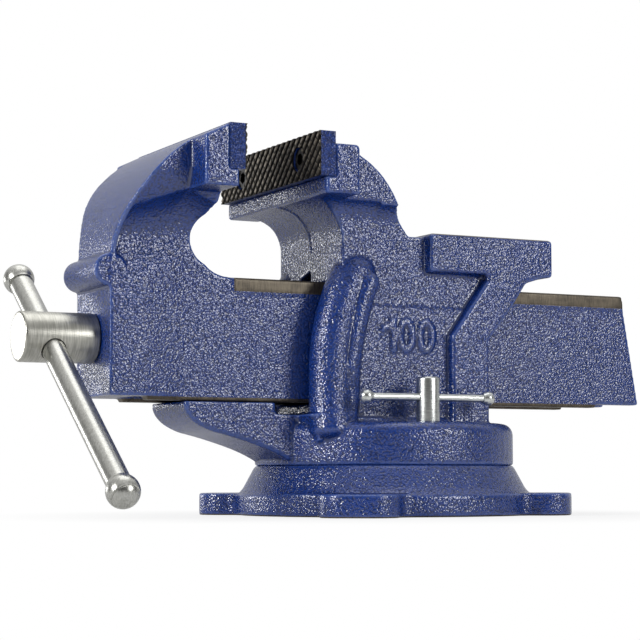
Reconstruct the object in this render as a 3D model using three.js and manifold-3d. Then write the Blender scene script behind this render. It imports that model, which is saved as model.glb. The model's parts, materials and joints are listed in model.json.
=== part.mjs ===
// A bench vise with a swivel base, in millimetres.
// +X points from the spindle's head to the anvil, +Z up, and the origin is on the swivel axis at the base's underside.
// Near is the -Y side and far is the +Y side.
import * as THREE from "three";
import { mergeVertices } from "three/addons/utils/BufferGeometryUtils.js";
import Module from "manifold-3d";

const wasm = await Module();
wasm.setup();
const { PI, sin, cos, sqrt } = Math;

// ---- Driving dimensions -------------------------------------------------------------------------------------------

const GAP = 0.3; // clearance of every fitted or sliding pair
const PAST = 2; // how far a cutter runs past the face that it opens

// base
const PLATE_R = 57.9; // swivel plate and the top of the base's cone
const BASE_H = 21.8;
const FLANGE_R = 66;
const FLANGE_H = 9.8;
const CONE_FOOT_R = 64.6;
const LUG_REACH = 83.6;
const LUG_HALF = 17.5;
const LUG_TURN = 35.1; // direction of the first lug, with the base turned a little from the body
const LUG_HOLE_R = 5.5;
const LUG_HOLE_AT = 73.6;
const LUG_CORNER = 5;
const LOCK_R = 46; // radius of the lock screws and of the T-slot's centre line
const SLOT_HALF = 5.4; // half width of the slot's mouth
const CHAMBER_HALF = 8.6;
const CHAMBER_Z = 6;
const SLOT_LIP = 7.6;
const ENTRY_R = 10.5; // round opening that lets the clamp nuts into the slot
const SPIGOT_R = 12;
const SPIGOT_H = 9;

// swivel plate and body
const PLATE_TOP = 40.3;
const PLATE_ROUND = 5;
const BODY_HALF = 30.5;
const PANEL_TOP = 90.9; // the lower side panel stands a little proud of the upper one
const PANEL_PROUD = 1;
const REAR_X = 34;
const BAND_X = 15; // front of the raised band at the body's rear
const BAND_HALF = 36;
const ANVIL_X0 = 4;
const ANVIL_X1 = 68;
const ANVIL_Z0 = 106.4;
const ANVIL_Z1 = 123.4;
const COLLAR_HALF = 36;

// fixed jaw
const JAW_HALF = 50; // half of the jaws' width
const THROAT_X = -38;
const HEAD_Z0 = 135.6;
const LEDGE_Z = 142.8;
const HEAD_TOP = 157;
const INSERT_TOP = 161.8;
const INSERT_T = 7.8;
const FIXED_FACE_X = -57.9;
const LEDGE_BACK = 3.6; // how far the ledge under an insert stands behind its face
const FIXED_HEAD_T = 11.8;
const NECK_UP_HALF = 37;

// slide and movable jaw
const SLIDE_HALF = 17.5;
const SLIDE_Z0 = 50.1;
const SLIDE_Z1 = 101.6;
const RAIL_H = 5.8;
const RAIL_PROUD = 0.5;
const SLIDE_REAR_LOW = 128.3;
const SLIDE_REAR_TOP = 119.3;
const CHANNEL_HALF = 10.6;
const CHANNEL_TOP = 92;
const FRONT_X = -139;
const FRONT_WALL = 15;
const FRONT_HALF = 20;
const MOVING_FACE_X = -91; // so the jaws stand open by the difference of the two faces
const MOVING_HEAD_BACK = -109.7;
const MOVING_HEAD_LOW = 156.3;
const MOVING_THROAT_X = -102;
const WEB_HALF = 17.5;
const NECK_HALF = 31;
const SKIN_HALF = 36;
const SKIN_T = 7;
const BEAD_R = 6.8;
const BEAD_Z = 102.2;

// spindle and handle
const SPINDLE_Z = 74.7;
const SPINDLE_HEAD_X = -171.8;
const SPINDLE_HEAD_R = 10.6;
const SPINDLE_R = 8;
const SPINDLE_END = 101;
const CROSS_X = -159.1;
const HANDLE_R = 5;
const HANDLE_TILT = 53.9; // degrees from upright, upper end to the far side
const HANDLE_UP = 46.8;
const HANDLE_DOWN = 107.4;
const HANDLE_BALL_R = 6.7;
const COLLAR_R = 10.2;
const COLLAR_T = 9;
const PIN_R = 2;

// nut block
const NUT_X0 = 5;
const NUT_X1 = 31;
const NUT_HALF = 9.6;
const NUT_TOP = 87;
const NUT_BOLT_R = 4;

// swivel locks
const LOCK_X = -3.6;
const LOCK_TOP = 59.6;
const LOCK_SCREW_R = 5;
const LOCK_SHANK_R = 3.6;
const LOCK_BAR_Z = 50.8;
const LOCK_BAR_R = 1.7;
const LOCK_BAR_HALF = 30;
const LOCK_BALL_R = 3.1;

// jaw screws
const JAW_SCREW_Y = 29;
const JAW_SCREW_Z = 152.4;
const JAW_SCREW_R = 3;
const JAW_SCREW_HEAD_R = 5;
const JAW_SCREW_HEAD_H = 3;

// The arm rests against the slide's underside with the sliding gap between them.
const ARM_TOP = SLIDE_Z0 - GAP;
const ARM_HALF = 18.6;
const LOCK_Y = sqrt(LOCK_R * LOCK_R - LOCK_X * LOCK_X);

// ---- Shape helpers ------------------------------------------------------------------------------------------------

// A closed three.js geometry as a solid.
function solid(geometry) {
  const g = geometry.index ? geometry.toNonIndexed() : geometry.clone();
  g.deleteAttribute("normal");
  g.deleteAttribute("uv");
  const merged = mergeVertices(g, 1e-4);
  const corners = merged.index.array;
  const kept = [];
  for (let i = 0; i < corners.length; i += 3) {
    const [a, b, c] = corners.slice(i, i + 3);
    if (a !== b && b !== c && c !== a) kept.push(a, b, c);
  }
  return new wasm.Manifold(
    new wasm.Mesh({
      numProp: 3,
      vertProperties: merged.attributes.position.array,
      triVerts: new Uint32Array(kept),
    }),
  );
}

// A solid as a three.js geometry.
function geometryOf(made) {
  const m = made.getMesh();
  const g = new THREE.BufferGeometry();
  g.setAttribute("position", new THREE.BufferAttribute(new Float32Array(m.vertProperties), 3));
  g.setIndex(new THREE.BufferAttribute(new Uint32Array(m.triVerts), 1));
  const flat = g.toNonIndexed();
  flat.computeVertexNormals();
  return flat;
}

// The columns give the directions in space of a profile's own x, y and depth.
const UPRIGHT_Y = new THREE.Matrix4().makeBasis(
  new THREE.Vector3(1, 0, 0), new THREE.Vector3(0, 0, 1), new THREE.Vector3(0, -1, 0));
const UPRIGHT_X = new THREE.Matrix4().makeBasis(
  new THREE.Vector3(0, 1, 0), new THREE.Vector3(0, 0, 1), new THREE.Vector3(1, 0, 0));

function extruded(shape, depth, segments, round) {
  const settings = { depth, curveSegments: segments, steps: 1, bevelEnabled: false };
  if (round) {
    settings.depth = depth - 2 * round;
    settings.bevelEnabled = true;
    settings.bevelSize = round;
    settings.bevelOffset = -round;
    settings.bevelThickness = round;
    settings.bevelSegments = 2;
  }
  const g = new THREE.ExtrudeGeometry(shape, settings);
  return round ? g.translate(0, 0, round) : g;
}

// An XZ profile carried from -half to +half in Y.
function acrossY(shape, half, segments = 12, round = 0) {
  const g = extruded(shape, 2 * half, segments, round).applyMatrix4(UPRIGHT_Y);
  return solid(g.translate(0, half, 0));
}

// An XZ profile carried from y0 to y1.
function fromY(shape, y0, y1, segments = 12, round = 0) {
  const g = extruded(shape, y1 - y0, segments, round).applyMatrix4(UPRIGHT_Y);
  return solid(g.translate(0, y1, 0));
}

// A YZ profile carried from x0 to x1.
function alongX(shape, x0, x1, segments = 12) {
  return solid(extruded(shape, x1 - x0, segments, 0).applyMatrix4(UPRIGHT_X).translate(x0, 0, 0));
}

// An XY profile carried from z0 to z1.
function upZ(shape, z0, z1, segments = 12, round = 0) {
  return solid(extruded(shape, z1 - z0, segments, round).translate(0, 0, z0));
}

function box(x0, x1, y0, y1, z0, z1) {
  const g = new THREE.BoxGeometry(x1 - x0, y1 - y0, z1 - z0);
  return solid(g.translate((x0 + x1) / 2, (y0 + y1) / 2, (z0 + z1) / 2));
}

function rodX(x0, x1, r, y = 0, z = 0, sides = 48) {
  const g = new THREE.CylinderGeometry(r, r, x1 - x0, sides).rotateZ(-PI / 2);
  return solid(g.translate((x0 + x1) / 2, y, z));
}

function rodY(y0, y1, r, x, z, sides = 48) {
  return solid(new THREE.CylinderGeometry(r, r, y1 - y0, sides).translate(x, (y0 + y1) / 2, z));
}

function rodZ(z0, z1, r, x = 0, y = 0, sides = 48) {
  const g = new THREE.CylinderGeometry(r, r, z1 - z0, sides).rotateX(PI / 2);
  return solid(g.translate(x, y, (z0 + z1) / 2));
}

// A profile of [radius, height] points turned about Z.
function turned(points, sides = 60) {
  const g = new THREE.LatheGeometry(points.map(([r, z]) => new THREE.Vector2(r, z)), sides);
  return solid(g.rotateX(PI / 2));
}

// A profile of [radius, x] points turned about an axis along X at height z.
function turnedX(points, z, sides = 48) {
  const g = new THREE.LatheGeometry(points.map(([r, x]) => new THREE.Vector2(r, x)), sides);
  return solid(g.rotateZ(-PI / 2).translate(0, 0, z));
}

function polygon(points) {
  return new THREE.Shape(points.map(([a, b]) => new THREE.Vector2(a, b)));
}

// A closed outline whose corners are rounded, each by the radius given as its third number.
function rounded(points) {
  const shape = new THREE.Shape();
  const count = points.length;
  points.forEach(([x, y, r = 0], i) => {
    if (!r) {
      if (i === 0) shape.moveTo(x, y);
      else shape.lineTo(x, y);
      return;
    }
    const here = new THREE.Vector2(x, y);
    const back = new THREE.Vector2(...points[(i + count - 1) % count].slice(0, 2)).sub(here).normalize();
    const ahead = new THREE.Vector2(...points[(i + 1) % count].slice(0, 2)).sub(here).normalize();
    const half = Math.acos(back.dot(ahead)) / 2;
    const start = here.clone().addScaledVector(back, r / Math.tan(half));
    const end = here.clone().addScaledVector(ahead, r / Math.tan(half));
    const centre = here.clone().addScaledVector(back.clone().add(ahead).normalize(), r / sin(half));
    if (i === 0) shape.moveTo(start.x, start.y);
    else shape.lineTo(start.x, start.y);
    const from = start.sub(centre).angle();
    const to = end.sub(centre).angle();
    shape.absarc(centre.x, centre.y, r, from, to, back.cross(ahead) > 0);
  });
  shape.closePath();
  return shape;
}

const joined = (first, ...rest) => rest.reduce((all, next) => all.add(next), first);
const cut = (first, ...rest) => rest.reduce((all, next) => all.subtract(next), first);

// ---- Base ---------------------------------------------------------------------------------------------------------

// One lug pointing along +X, with rounded corners and a flared root.
function lug() {
  const s = new THREE.Shape();
  const c = LUG_CORNER;
  const root = CONE_FOOT_R - 6;
  const flare = 9;
  s.moveTo(0, -LUG_HALF - flare);
  s.lineTo(root - 12, -LUG_HALF - flare);
  s.quadraticCurveTo(root, -LUG_HALF, root + 8, -LUG_HALF);
  s.lineTo(LUG_REACH - c, -LUG_HALF);
  s.absarc(LUG_REACH - c, -LUG_HALF + c, c, -PI / 2, 0, false);
  s.absarc(LUG_REACH - c, LUG_HALF - c, c, 0, PI / 2, false);
  s.lineTo(root + 8, LUG_HALF);
  s.quadraticCurveTo(root, LUG_HALF, root - 12, LUG_HALF + flare);
  s.lineTo(0, LUG_HALF + flare);
  s.closePath();
  return cut(upZ(s, 0, FLANGE_H, 8, 1), rodZ(-PAST, FLANGE_H + PAST, LUG_HOLE_R, LUG_HOLE_AT, 0, 32));
}

function base() {
  const outside = turned([
    [0, 0], [FLANGE_R - 1, 0], [FLANGE_R, 1], [FLANGE_R, FLANGE_H - 1], [FLANGE_R - 1, FLANGE_H],
    [CONE_FOOT_R, FLANGE_H + 0.4], [CONE_FOOT_R - 1.6, FLANGE_H + 2.4], [PLATE_R + 0.6, BASE_H - 1.2],
    [PLATE_R - 0.4, BASE_H], [0, BASE_H],
  ]);
  const lugs = [0, 1, 2, 3].map((k) => lug().rotate([0, 0, LUG_TURN + 90 * k]));
  const lip = BASE_H - SLOT_LIP;
  const slot = turned([
    [LOCK_R - CHAMBER_HALF, CHAMBER_Z], [LOCK_R + CHAMBER_HALF, CHAMBER_Z], [LOCK_R + CHAMBER_HALF, lip],
    [LOCK_R + SLOT_HALF, lip], [LOCK_R + SLOT_HALF, BASE_H + PAST], [LOCK_R - SLOT_HALF, BASE_H + PAST],
    [LOCK_R - SLOT_HALF, lip], [LOCK_R - CHAMBER_HALF, lip], [LOCK_R - CHAMBER_HALF, CHAMBER_Z],
  ], 48);
  const entry = rodZ(CHAMBER_Z, BASE_H + PAST, ENTRY_R, LOCK_R, 0, 28);
  const bore = rodZ(BASE_H - SPIGOT_H - 1, BASE_H + PAST, SPIGOT_R + GAP, 0, 0, 48);
  return cut(joined(outside, ...lugs), slot, entry, bore);
}

// ---- Body casting -------------------------------------------------------------------------------------------------

function swivelPlate() {
  const r = PLATE_ROUND;
  const edge = [0, 1, 2, 3, 4, 5].map((k) => {
    const a = (k * PI) / 10;
    return [PLATE_R - r + r * cos(a), PLATE_TOP - r + r * sin(a)];
  });
  return turned([[0, BASE_H], [PLATE_R - 0.6, BASE_H], [PLATE_R, BASE_H + 0.6], ...edge, [0, PLATE_TOP]]);
}

// The arm under the slide: a straight top, a blunt nose and a hanging underside that runs into the plate.
function arm() {
  const s = new THREE.Shape();
  s.moveTo(-40, BASE_H + 2);
  s.lineTo(-56, BASE_H + 2);
  s.quadraticCurveTo(-62, 27.4, -72, 30.6);
  s.quadraticCurveTo(-84, 34.4, -92, 36);
  s.quadraticCurveTo(-103.4, 39.6, -105, 46.4);
  s.lineTo(-105, ARM_TOP);
  s.lineTo(-62.7, ARM_TOP);
  s.lineTo(-62.7, ARM_TOP - 4.6);
  s.lineTo(-50, ARM_TOP - 4.6);
  s.lineTo(-50, ARM_TOP);
  s.lineTo(-40, ARM_TOP);
  s.closePath();
  return acrossY(s, ARM_HALF, 8, 1.2);
}

// The tunnel's walls, the lower side panel and the fillet where they stand on the plate.
function torso() {
  const upper = rounded([[-46, 36], [REAR_X, 36], [REAR_X, ANVIL_Z1 - 8], [-20, ANVIL_Z1 - 8], [THROAT_X, 104.6, 1]]);
  const panel = rounded([[-40, 36], [REAR_X, 36], [REAR_X, PANEL_TOP, 1], [-27, PANEL_TOP, 5]]);
  const foot = rounded([[-50, 32], [REAR_X + 2, 32], [REAR_X + 2, PLATE_TOP + 2], [-50, PLATE_TOP + 2]]);
  return joined(
    acrossY(upper, BODY_HALF, 6),
    acrossY(panel, BODY_HALF + PANEL_PROUD, 6, 0.6),
    acrossY(foot, BODY_HALF + PANEL_PROUD + 2, 4, 1.8),
  );
}

// The raised collar round the tunnel's mouth: it leans back as it rises and ends in a dome on each side.
function collar() {
  const s = new THREE.Shape();
  s.moveTo(-47, 33);
  s.quadraticCurveTo(-54.6, 42, -54.9, 56);
  s.quadraticCurveTo(-55, 74, -50.4, 88);
  s.quadraticCurveTo(-46.4, 100, -39, 109);
  s.quadraticCurveTo(-34.4, 114.2, -28.6, 114);
  s.quadraticCurveTo(-20.6, 112.6, -21, 103);
  s.quadraticCurveTo(-27.6, 88, -29.8, 74);
  s.quadraticCurveTo(-31.6, 58, -30.8, 42);
  s.lineTo(-33, 33);
  s.closePath();
  const band = acrossY(s, COLLAR_HALF, 8, 4.5);
  // a shallow groove parts the collar's two beads
  const groove = (side) => {
    const path = new THREE.CatmullRomCurve3([
      new THREE.Vector3(-44, side * (COLLAR_HALF + 1.6), 40),
      new THREE.Vector3(-43.6, side * (COLLAR_HALF + 1.6), 62),
      new THREE.Vector3(-40.4, side * (COLLAR_HALF + 1.6), 84),
      new THREE.Vector3(-33.4, side * (COLLAR_HALF + 1.6), 101),
      new THREE.Vector3(-29.4, side * (COLLAR_HALF + 3.4), 107),
    ]);
    const round = new THREE.Shape().absarc(0, 0, 3.4, 0, 2 * PI, false);
    return solid(new THREE.ExtrudeGeometry(round, { steps: 10, curveSegments: 6, extrudePath: path }));
  };
  return cut(band, groove(-1), groove(1));
}

// Anvil, its bracket, the sloping buttress and the band at the body's rear, all standing out to one width.
function anvilAndBand() {
  const anvil = rounded([
    [ANVIL_X0, ANVIL_Z0, 1.5], [ANVIL_X1, ANVIL_Z0, 1.5], [ANVIL_X1, ANVIL_Z1, 1.5], [ANVIL_X0, ANVIL_Z1, 1.5],
  ]);
  const bracket = rounded([
    [BAND_X, PLATE_TOP - 4], [REAR_X, PLATE_TOP - 4], [REAR_X, 77, 3], [46.6, 92.6, 3], [54, 103.4, 4],
    [66, ANVIL_Z0 + 0.6], [66, ANVIL_Z0 + 5], [30, ANVIL_Z0 + 5], [34, 104.6, 2], [BAND_X, 78.6, 3],
  ]);
  return joined(acrossY(anvil, BAND_HALF, 5, 1), acrossY(bracket, BAND_HALF, 6, 1.2));
}

// The neck: throat in front, a long curve behind, wider above a cove than below it.
function fixedNeck() {
  const s = new THREE.Shape();
  const r = 12;
  s.moveTo(THROAT_X, 104.6);
  s.lineTo(THROAT_X, HEAD_Z0 - 3 - r);
  s.absarc(THROAT_X - r, HEAD_Z0 - 3 - r, r, 0, PI / 2, false);
  s.lineTo(FIXED_FACE_X + LEDGE_BACK + 0.4, HEAD_Z0);
  s.lineTo(FIXED_FACE_X + INSERT_T + 1, HEAD_Z0 + 8);
  s.lineTo(FIXED_FACE_X + INSERT_T + 1, HEAD_TOP - 1);
  s.lineTo(-33, HEAD_TOP - 1);
  s.quadraticCurveTo(-20, 150, -13.4, 137);
  s.quadraticCurveTo(-9, 128, -4, ANVIL_Z1 - 1.4);
  s.lineTo(14, ANVIL_Z1 - 1.4);
  s.lineTo(14, 104.6);
  s.closePath();
  const front = new THREE.Shape();
  const h = BODY_HALF;
  front.moveTo(-h, 100);
  front.lineTo(h, 100);
  front.lineTo(h, 125.6);
  front.quadraticCurveTo(h + 0.4, 132.6, NECK_UP_HALF, 134.4);
  front.lineTo(NECK_UP_HALF, HEAD_TOP + 4);
  front.lineTo(-NECK_UP_HALF, HEAD_TOP + 4);
  front.lineTo(-NECK_UP_HALF, 134.4);
  front.quadraticCurveTo(-h - 0.4, 132.6, -h, 125.6);
  front.closePath();
  return acrossY(s, NECK_UP_HALF + 1, 14).intersect(alongX(front, -70, 30, 8));
}

function fixedHead() {
  const back = FIXED_FACE_X + INSERT_T;
  const profile = rounded([
    [FIXED_FACE_X + LEDGE_BACK, HEAD_Z0, 1.2], [back + FIXED_HEAD_T, HEAD_Z0, 1], [back + FIXED_HEAD_T, HEAD_TOP, 1.6],
    [back, HEAD_TOP], [back, LEDGE_Z], [FIXED_FACE_X + LEDGE_BACK, LEDGE_Z],
  ]);
  return acrossY(profile, JAW_HALF, 6, 0.8);
}

// What the slide, the nut's bolt, the lock screws and the jaw screws need open.
function bodyOpenings() {
  const wide = SLIDE_HALF + GAP;
  const passage = box(-80, ANVIL_X1 + PAST, -wide, wide, ARM_TOP, SLIDE_Z1 + GAP);
  const mouth = box(-80, THROAT_X, -wide - 0.6, wide + 0.6, ARM_TOP, 130);
  const screws = [-1, 1].map((side) =>
    rodZ(BASE_H - PAST, PLATE_TOP + 8, LOCK_SHANK_R + GAP, LOCK_X, side * LOCK_Y, 24));
  const boltX = (NUT_X0 + NUT_X1) / 2;
  const bolt = joined(
    rodZ(BASE_H - SPIGOT_H - PAST, BASE_H + 8.3, 7.2, boltX, 0, 32),
    rodZ(BASE_H, ARM_TOP + PAST, NUT_BOLT_R + GAP, boltX, 0, 32),
  );
  return joined(passage, mouth, ...screws, bolt);
}

function jawScrewHoles(face, away, length) {
  const holes = [-1, 1].map((side) => {
    const x = [face + away * -PAST, face + away * (length + 1)].sort((a, b) => a - b);
    return rodX(x[0], x[1], JAW_SCREW_R + GAP, side * JAW_SCREW_Y, JAW_SCREW_Z, 24);
  });
  return joined(...holes);
}

function body() {
  const spigot = rodZ(BASE_H - SPIGOT_H, BASE_H + 1, SPIGOT_R, 0, 0, 48);
  const metal = joined(swivelPlate(), spigot, arm(), torso(), collar(), anvilAndBand(), fixedNeck(), fixedHead());
  return cut(metal, bodyOpenings(), jawScrewHoles(FIXED_FACE_X + INSERT_T, 1, 9));
}

// ---- Movable jaw --------------------------------------------------------------------------------------------------

// Front view of the slide: machined rails along the top, a channel open at the bottom.
function slideSection() {
  const side = SLIDE_HALF - RAIL_PROUD;
  const rail = SLIDE_Z1 - RAIL_H;
  const s = new THREE.Shape();
  s.moveTo(CHANNEL_HALF, SLIDE_Z0);
  s.lineTo(side, SLIDE_Z0);
  s.lineTo(side, rail);
  s.lineTo(SLIDE_HALF, rail);
  s.lineTo(SLIDE_HALF, SLIDE_Z1);
  s.lineTo(-SLIDE_HALF, SLIDE_Z1);
  s.lineTo(-SLIDE_HALF, rail);
  s.lineTo(-side, rail);
  s.lineTo(-side, SLIDE_Z0);
  s.lineTo(-CHANNEL_HALF, SLIDE_Z0);
  s.lineTo(-CHANNEL_HALF, CHANNEL_TOP - 4);
  s.quadraticCurveTo(-CHANNEL_HALF, CHANNEL_TOP, -CHANNEL_HALF + 4, CHANNEL_TOP);
  s.lineTo(CHANNEL_HALF - 4, CHANNEL_TOP);
  s.quadraticCurveTo(CHANNEL_HALF, CHANNEL_TOP, CHANNEL_HALF, CHANNEL_TOP - 4);
  s.closePath();
  return s;
}

function slide() {
  const end = polygon([
    [FRONT_X, SLIDE_Z0 - PAST], [SLIDE_REAR_LOW + 0.35, SLIDE_Z0 - PAST],
    [SLIDE_REAR_TOP - 0.35, SLIDE_Z1 + PAST], [FRONT_X, SLIDE_Z1 + PAST],
  ]);
  return alongX(slideSection(), FRONT_X + 2, SLIDE_REAR_LOW + 2, 4).intersect(acrossY(end, SLIDE_HALF + 1));
}

// The front's outer curve, from its upright face to the head's back edge.
const SKIN_R = 59.8;
const SKIN_Z = 105;
function skinX(z) {
  const h = Math.max(0, z - SKIN_Z);
  return FRONT_X + SKIN_R - sqrt(SKIN_R * SKIN_R - h * h);
}

// Side view of the web that joins the front face, the slide and the head.
function web() {
  const s = new THREE.Shape();
  const foot = 14;
  const head = 10;
  const x = MOVING_THROAT_X;
  s.moveTo(FRONT_X + 1.5, SLIDE_Z0);
  s.lineTo(-86, SLIDE_Z0);
  s.lineTo(-86, SLIDE_Z1);
  s.lineTo(x + foot, SLIDE_Z1);
  s.absarc(x + foot, SLIDE_Z1 + foot, foot, -PI / 2, -PI, true);
  s.lineTo(x, HEAD_Z0 - head);
  s.absarc(x + head, HEAD_Z0 - head, head, PI, PI / 2, true);
  s.lineTo(x + head, HEAD_Z0 + 4);
  s.lineTo(MOVING_FACE_X - INSERT_T - 2, HEAD_Z0 + 4);
  s.lineTo(MOVING_FACE_X - INSERT_T - 2, MOVING_HEAD_LOW);
  s.lineTo(skinX(155) + 1.4, 155);
  for (let z = 150; z > SKIN_Z; z -= 5) s.lineTo(skinX(z) + 1.4, z);
  s.lineTo(FRONT_X + 1.5, SKIN_Z);
  s.closePath();
  return s;
}

// Front view of the neck: as wide as the slide below, spreading through a cove to its full width.
function neckOutline() {
  const s = new THREE.Shape();
  s.moveTo(WEB_HALF, SLIDE_Z0);
  s.lineTo(WEB_HALF, 116);
  s.quadraticCurveTo(WEB_HALF + 1, 129.4, NECK_HALF, 131);
  s.lineTo(NECK_HALF, 170);
  s.lineTo(-NECK_HALF, 170);
  s.lineTo(-NECK_HALF, 131);
  s.quadraticCurveTo(-WEB_HALF - 1, 129.4, -WEB_HALF, 116);
  s.lineTo(-WEB_HALF, SLIDE_Z0);
  s.closePath();
  return s;
}

// Front view of the outer skin: it flares from the front face's width to the head.
function skinOutline() {
  const s = new THREE.Shape();
  s.moveTo(FRONT_HALF, SLIDE_Z0);
  s.lineTo(FRONT_HALF, 111);
  s.quadraticCurveTo(FRONT_HALF + 2.4, 121, FRONT_HALF + 8.4, 129);
  s.quadraticCurveTo(SKIN_HALF - 1.5, 137, SKIN_HALF, 144);
  s.lineTo(SKIN_HALF, 170);
  s.lineTo(-SKIN_HALF, 170);
  s.lineTo(-SKIN_HALF, 144);
  s.quadraticCurveTo(-SKIN_HALF + 1.5, 137, -FRONT_HALF - 8.4, 129);
  s.quadraticCurveTo(-FRONT_HALF - 2.4, 121, -FRONT_HALF, 111);
  s.lineTo(-FRONT_HALF, SLIDE_Z0);
  s.closePath();
  return s;
}

// Side view of the outer skin, a band behind the front's curve.
function skinBand() {
  const s = new THREE.Shape();
  s.moveTo(FRONT_X, SLIDE_Z0);
  s.lineTo(FRONT_X + FRONT_WALL, SLIDE_Z0);
  s.lineTo(FRONT_X + FRONT_WALL, 96);
  s.lineTo(FRONT_X + SKIN_T + 1, 110);
  for (let z = 114; z < 156; z += 4) s.lineTo(skinX(z) + SKIN_T + 1, z - 3);
  s.lineTo(MOVING_HEAD_BACK + 4, 155.6);
  s.lineTo(MOVING_HEAD_BACK, 155.8);
  for (let z = 154; z > SKIN_Z; z -= 3.5) s.lineTo(skinX(z), z);
  s.lineTo(FRONT_X, SKIN_Z);
  s.closePath();
  return s;
}

// The front block narrows to the slide's width before it can reach the tunnel.
function frontBlock() {
  const plan = polygon([
    [FRONT_X, -FRONT_HALF], [-122, -FRONT_HALF], [-90, -SLIDE_HALF + RAIL_PROUD],
    [-90, SLIDE_HALF - RAIL_PROUD], [-122, FRONT_HALF], [FRONT_X, FRONT_HALF],
  ]);
  const sides = upZ(plan, SLIDE_Z0, SLIDE_Z1 - RAIL_H + 0.5);
  const channel = box(FRONT_X + FRONT_WALL, -80, -CHANNEL_HALF, CHANNEL_HALF, SLIDE_Z0 - PAST, CHANNEL_TOP);
  return cut(sides, channel);
}

// The rounded bead across the front, above the spindle.
function bead() {
  const y = FRONT_HALF - 0.4;
  const end = [0, 1, 2, 3].map((k) => {
    const a = (k * PI) / 6;
    return [BEAD_R - 2.4 + 2.4 * cos(a), y - 2.4 + 2.4 * sin(a)];
  });
  const profile = [[0, -y], ...end.map(([r, h]) => [r, -h]).reverse(), ...end, [0, y]];
  const g = new THREE.LatheGeometry(profile.map(([r, h]) => new THREE.Vector2(r, h)), 32);
  return solid(g.translate(FRONT_X + 0.2, 0, BEAD_Z));
}

function movingHead() {
  const face = MOVING_FACE_X - INSERT_T;
  const ledge = MOVING_FACE_X - LEDGE_BACK;
  const profile = rounded([
    [MOVING_HEAD_BACK, HEAD_Z0, 1.2], [ledge, HEAD_Z0, 1.2], [ledge, LEDGE_Z], [face, LEDGE_Z],
    [face, INSERT_TOP - 0.2], [MOVING_HEAD_BACK, MOVING_HEAD_LOW, 1.6],
  ]);
  return acrossY(profile, JAW_HALF, 6, 0.8);
}

function movableJaw() {
  const neck = acrossY(web(), NECK_HALF + 1, 12).intersect(alongX(neckOutline(), -150, -80, 8));
  const skin = acrossY(skinBand(), SKIN_HALF + 1).intersect(alongX(skinOutline(), -150, -80, 8));
  const metal = joined(slide(), neck, skin, frontBlock(), bead(), movingHead());
  const channel = box(FRONT_X + FRONT_WALL, -70, -CHANNEL_HALF, CHANNEL_HALF, SLIDE_Z0 - PAST, CHANNEL_TOP - 3);
  const bore = rodX(FRONT_X - PAST, -60, SPINDLE_R + GAP, 0, SPINDLE_Z, 40);
  return cut(metal, channel, bore, jawScrewHoles(MOVING_FACE_X - INSERT_T, -1, 9));
}

// ---- Jaw plates and their screws ----------------------------------------------------------------------------------

// The face looks along `away`, and the plate lies behind it.
function insert(face, away) {
  const x = [face, face - away * INSERT_T].sort((a, b) => a - b);
  const r = 0.6;
  const profile = rounded([[x[0], LEDGE_Z, r], [x[1], LEDGE_Z, r], [x[1], INSERT_TOP, r], [x[0], INSERT_TOP, r]]);
  const holes = [-1, 1].map((side) => {
    const y = side * JAW_SCREW_Y;
    const shank = rodX(x[0] - PAST, x[1] + PAST, JAW_SCREW_R + GAP, y, JAW_SCREW_Z, 24);
    const deep = JAW_SCREW_HEAD_H + 1.4;
    const seat = [face + away * PAST, face - away * deep].sort((a, b) => a - b);
    return joined(shank, rodX(seat[0], seat[1], JAW_SCREW_HEAD_R + GAP, y, JAW_SCREW_Z, 32));
  });
  return cut(acrossY(profile, JAW_HALF, 3, 0.5), ...holes);
}

function jawScrew(face, away, side) {
  const y = side * JAW_SCREW_Y;
  const top = face - away * 1.4;
  const under = top - away * JAW_SCREW_HEAD_H;
  const tip = face - away * (INSERT_T + 8);
  const span = (a, b, r, sides) => {
    const x = [a, b].sort((p, q) => p - q);
    return rodX(x[0], x[1], r, y, JAW_SCREW_Z, sides);
  };
  const hex = span(top + away * PAST, top - away * 2, 2.4, 6);
  return cut(joined(span(top, under, JAW_SCREW_HEAD_R, 32), span(under + away * 0.5, tip, JAW_SCREW_R, 24)), hex);
}

// ---- Spindle ------------------------------------------------------------------------------------------------------

function spindle() {
  const shoulder = FRONT_X - 0.05;
  const shaft = turnedX([
    [0, SPINDLE_HEAD_X], [SPINDLE_HEAD_R - 1, SPINDLE_HEAD_X], [SPINDLE_HEAD_R, SPINDLE_HEAD_X + 1],
    [SPINDLE_HEAD_R, shoulder - 1], [SPINDLE_HEAD_R - 1, shoulder], [SPINDLE_R, shoulder],
    [SPINDLE_R, SPINDLE_END - 1.6], [SPINDLE_R - 1.6, SPINDLE_END], [0, SPINDLE_END],
  ], SPINDLE_Z);
  const cross = rodZ(-20, 20, HANDLE_R + GAP, 0, 0, 32).rotate([-HANDLE_TILT, 0, 0]);
  const pin = rodY(-15, 15, PIN_R + 0.1, collarPinX(), SPINDLE_Z, 20);
  return cut(shaft, cross.translate([CROSS_X, 0, SPINDLE_Z]), pin);
}

const collarPinX = () => FRONT_X + FRONT_WALL + GAP + COLLAR_T / 2;

function spindleCollar() {
  const x0 = FRONT_X + FRONT_WALL + GAP;
  const x1 = x0 + COLLAR_T;
  const r = SPINDLE_R + 0.1;
  const ring = turnedX([
    [r, x0], [COLLAR_R - 0.8, x0], [COLLAR_R, x0 + 0.8], [COLLAR_R, x1 - 0.8], [COLLAR_R - 0.8, x1], [r, x1], [r, x0],
  ], SPINDLE_Z, 40);
  return cut(ring, rodY(-15, 15, PIN_R + 0.1, collarPinX(), SPINDLE_Z, 20));
}

function collarPin() {
  return rodY(-COLLAR_R, COLLAR_R, PIN_R, collarPinX(), SPINDLE_Z, 20);
}

// ---- Handle -------------------------------------------------------------------------------------------------------

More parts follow.
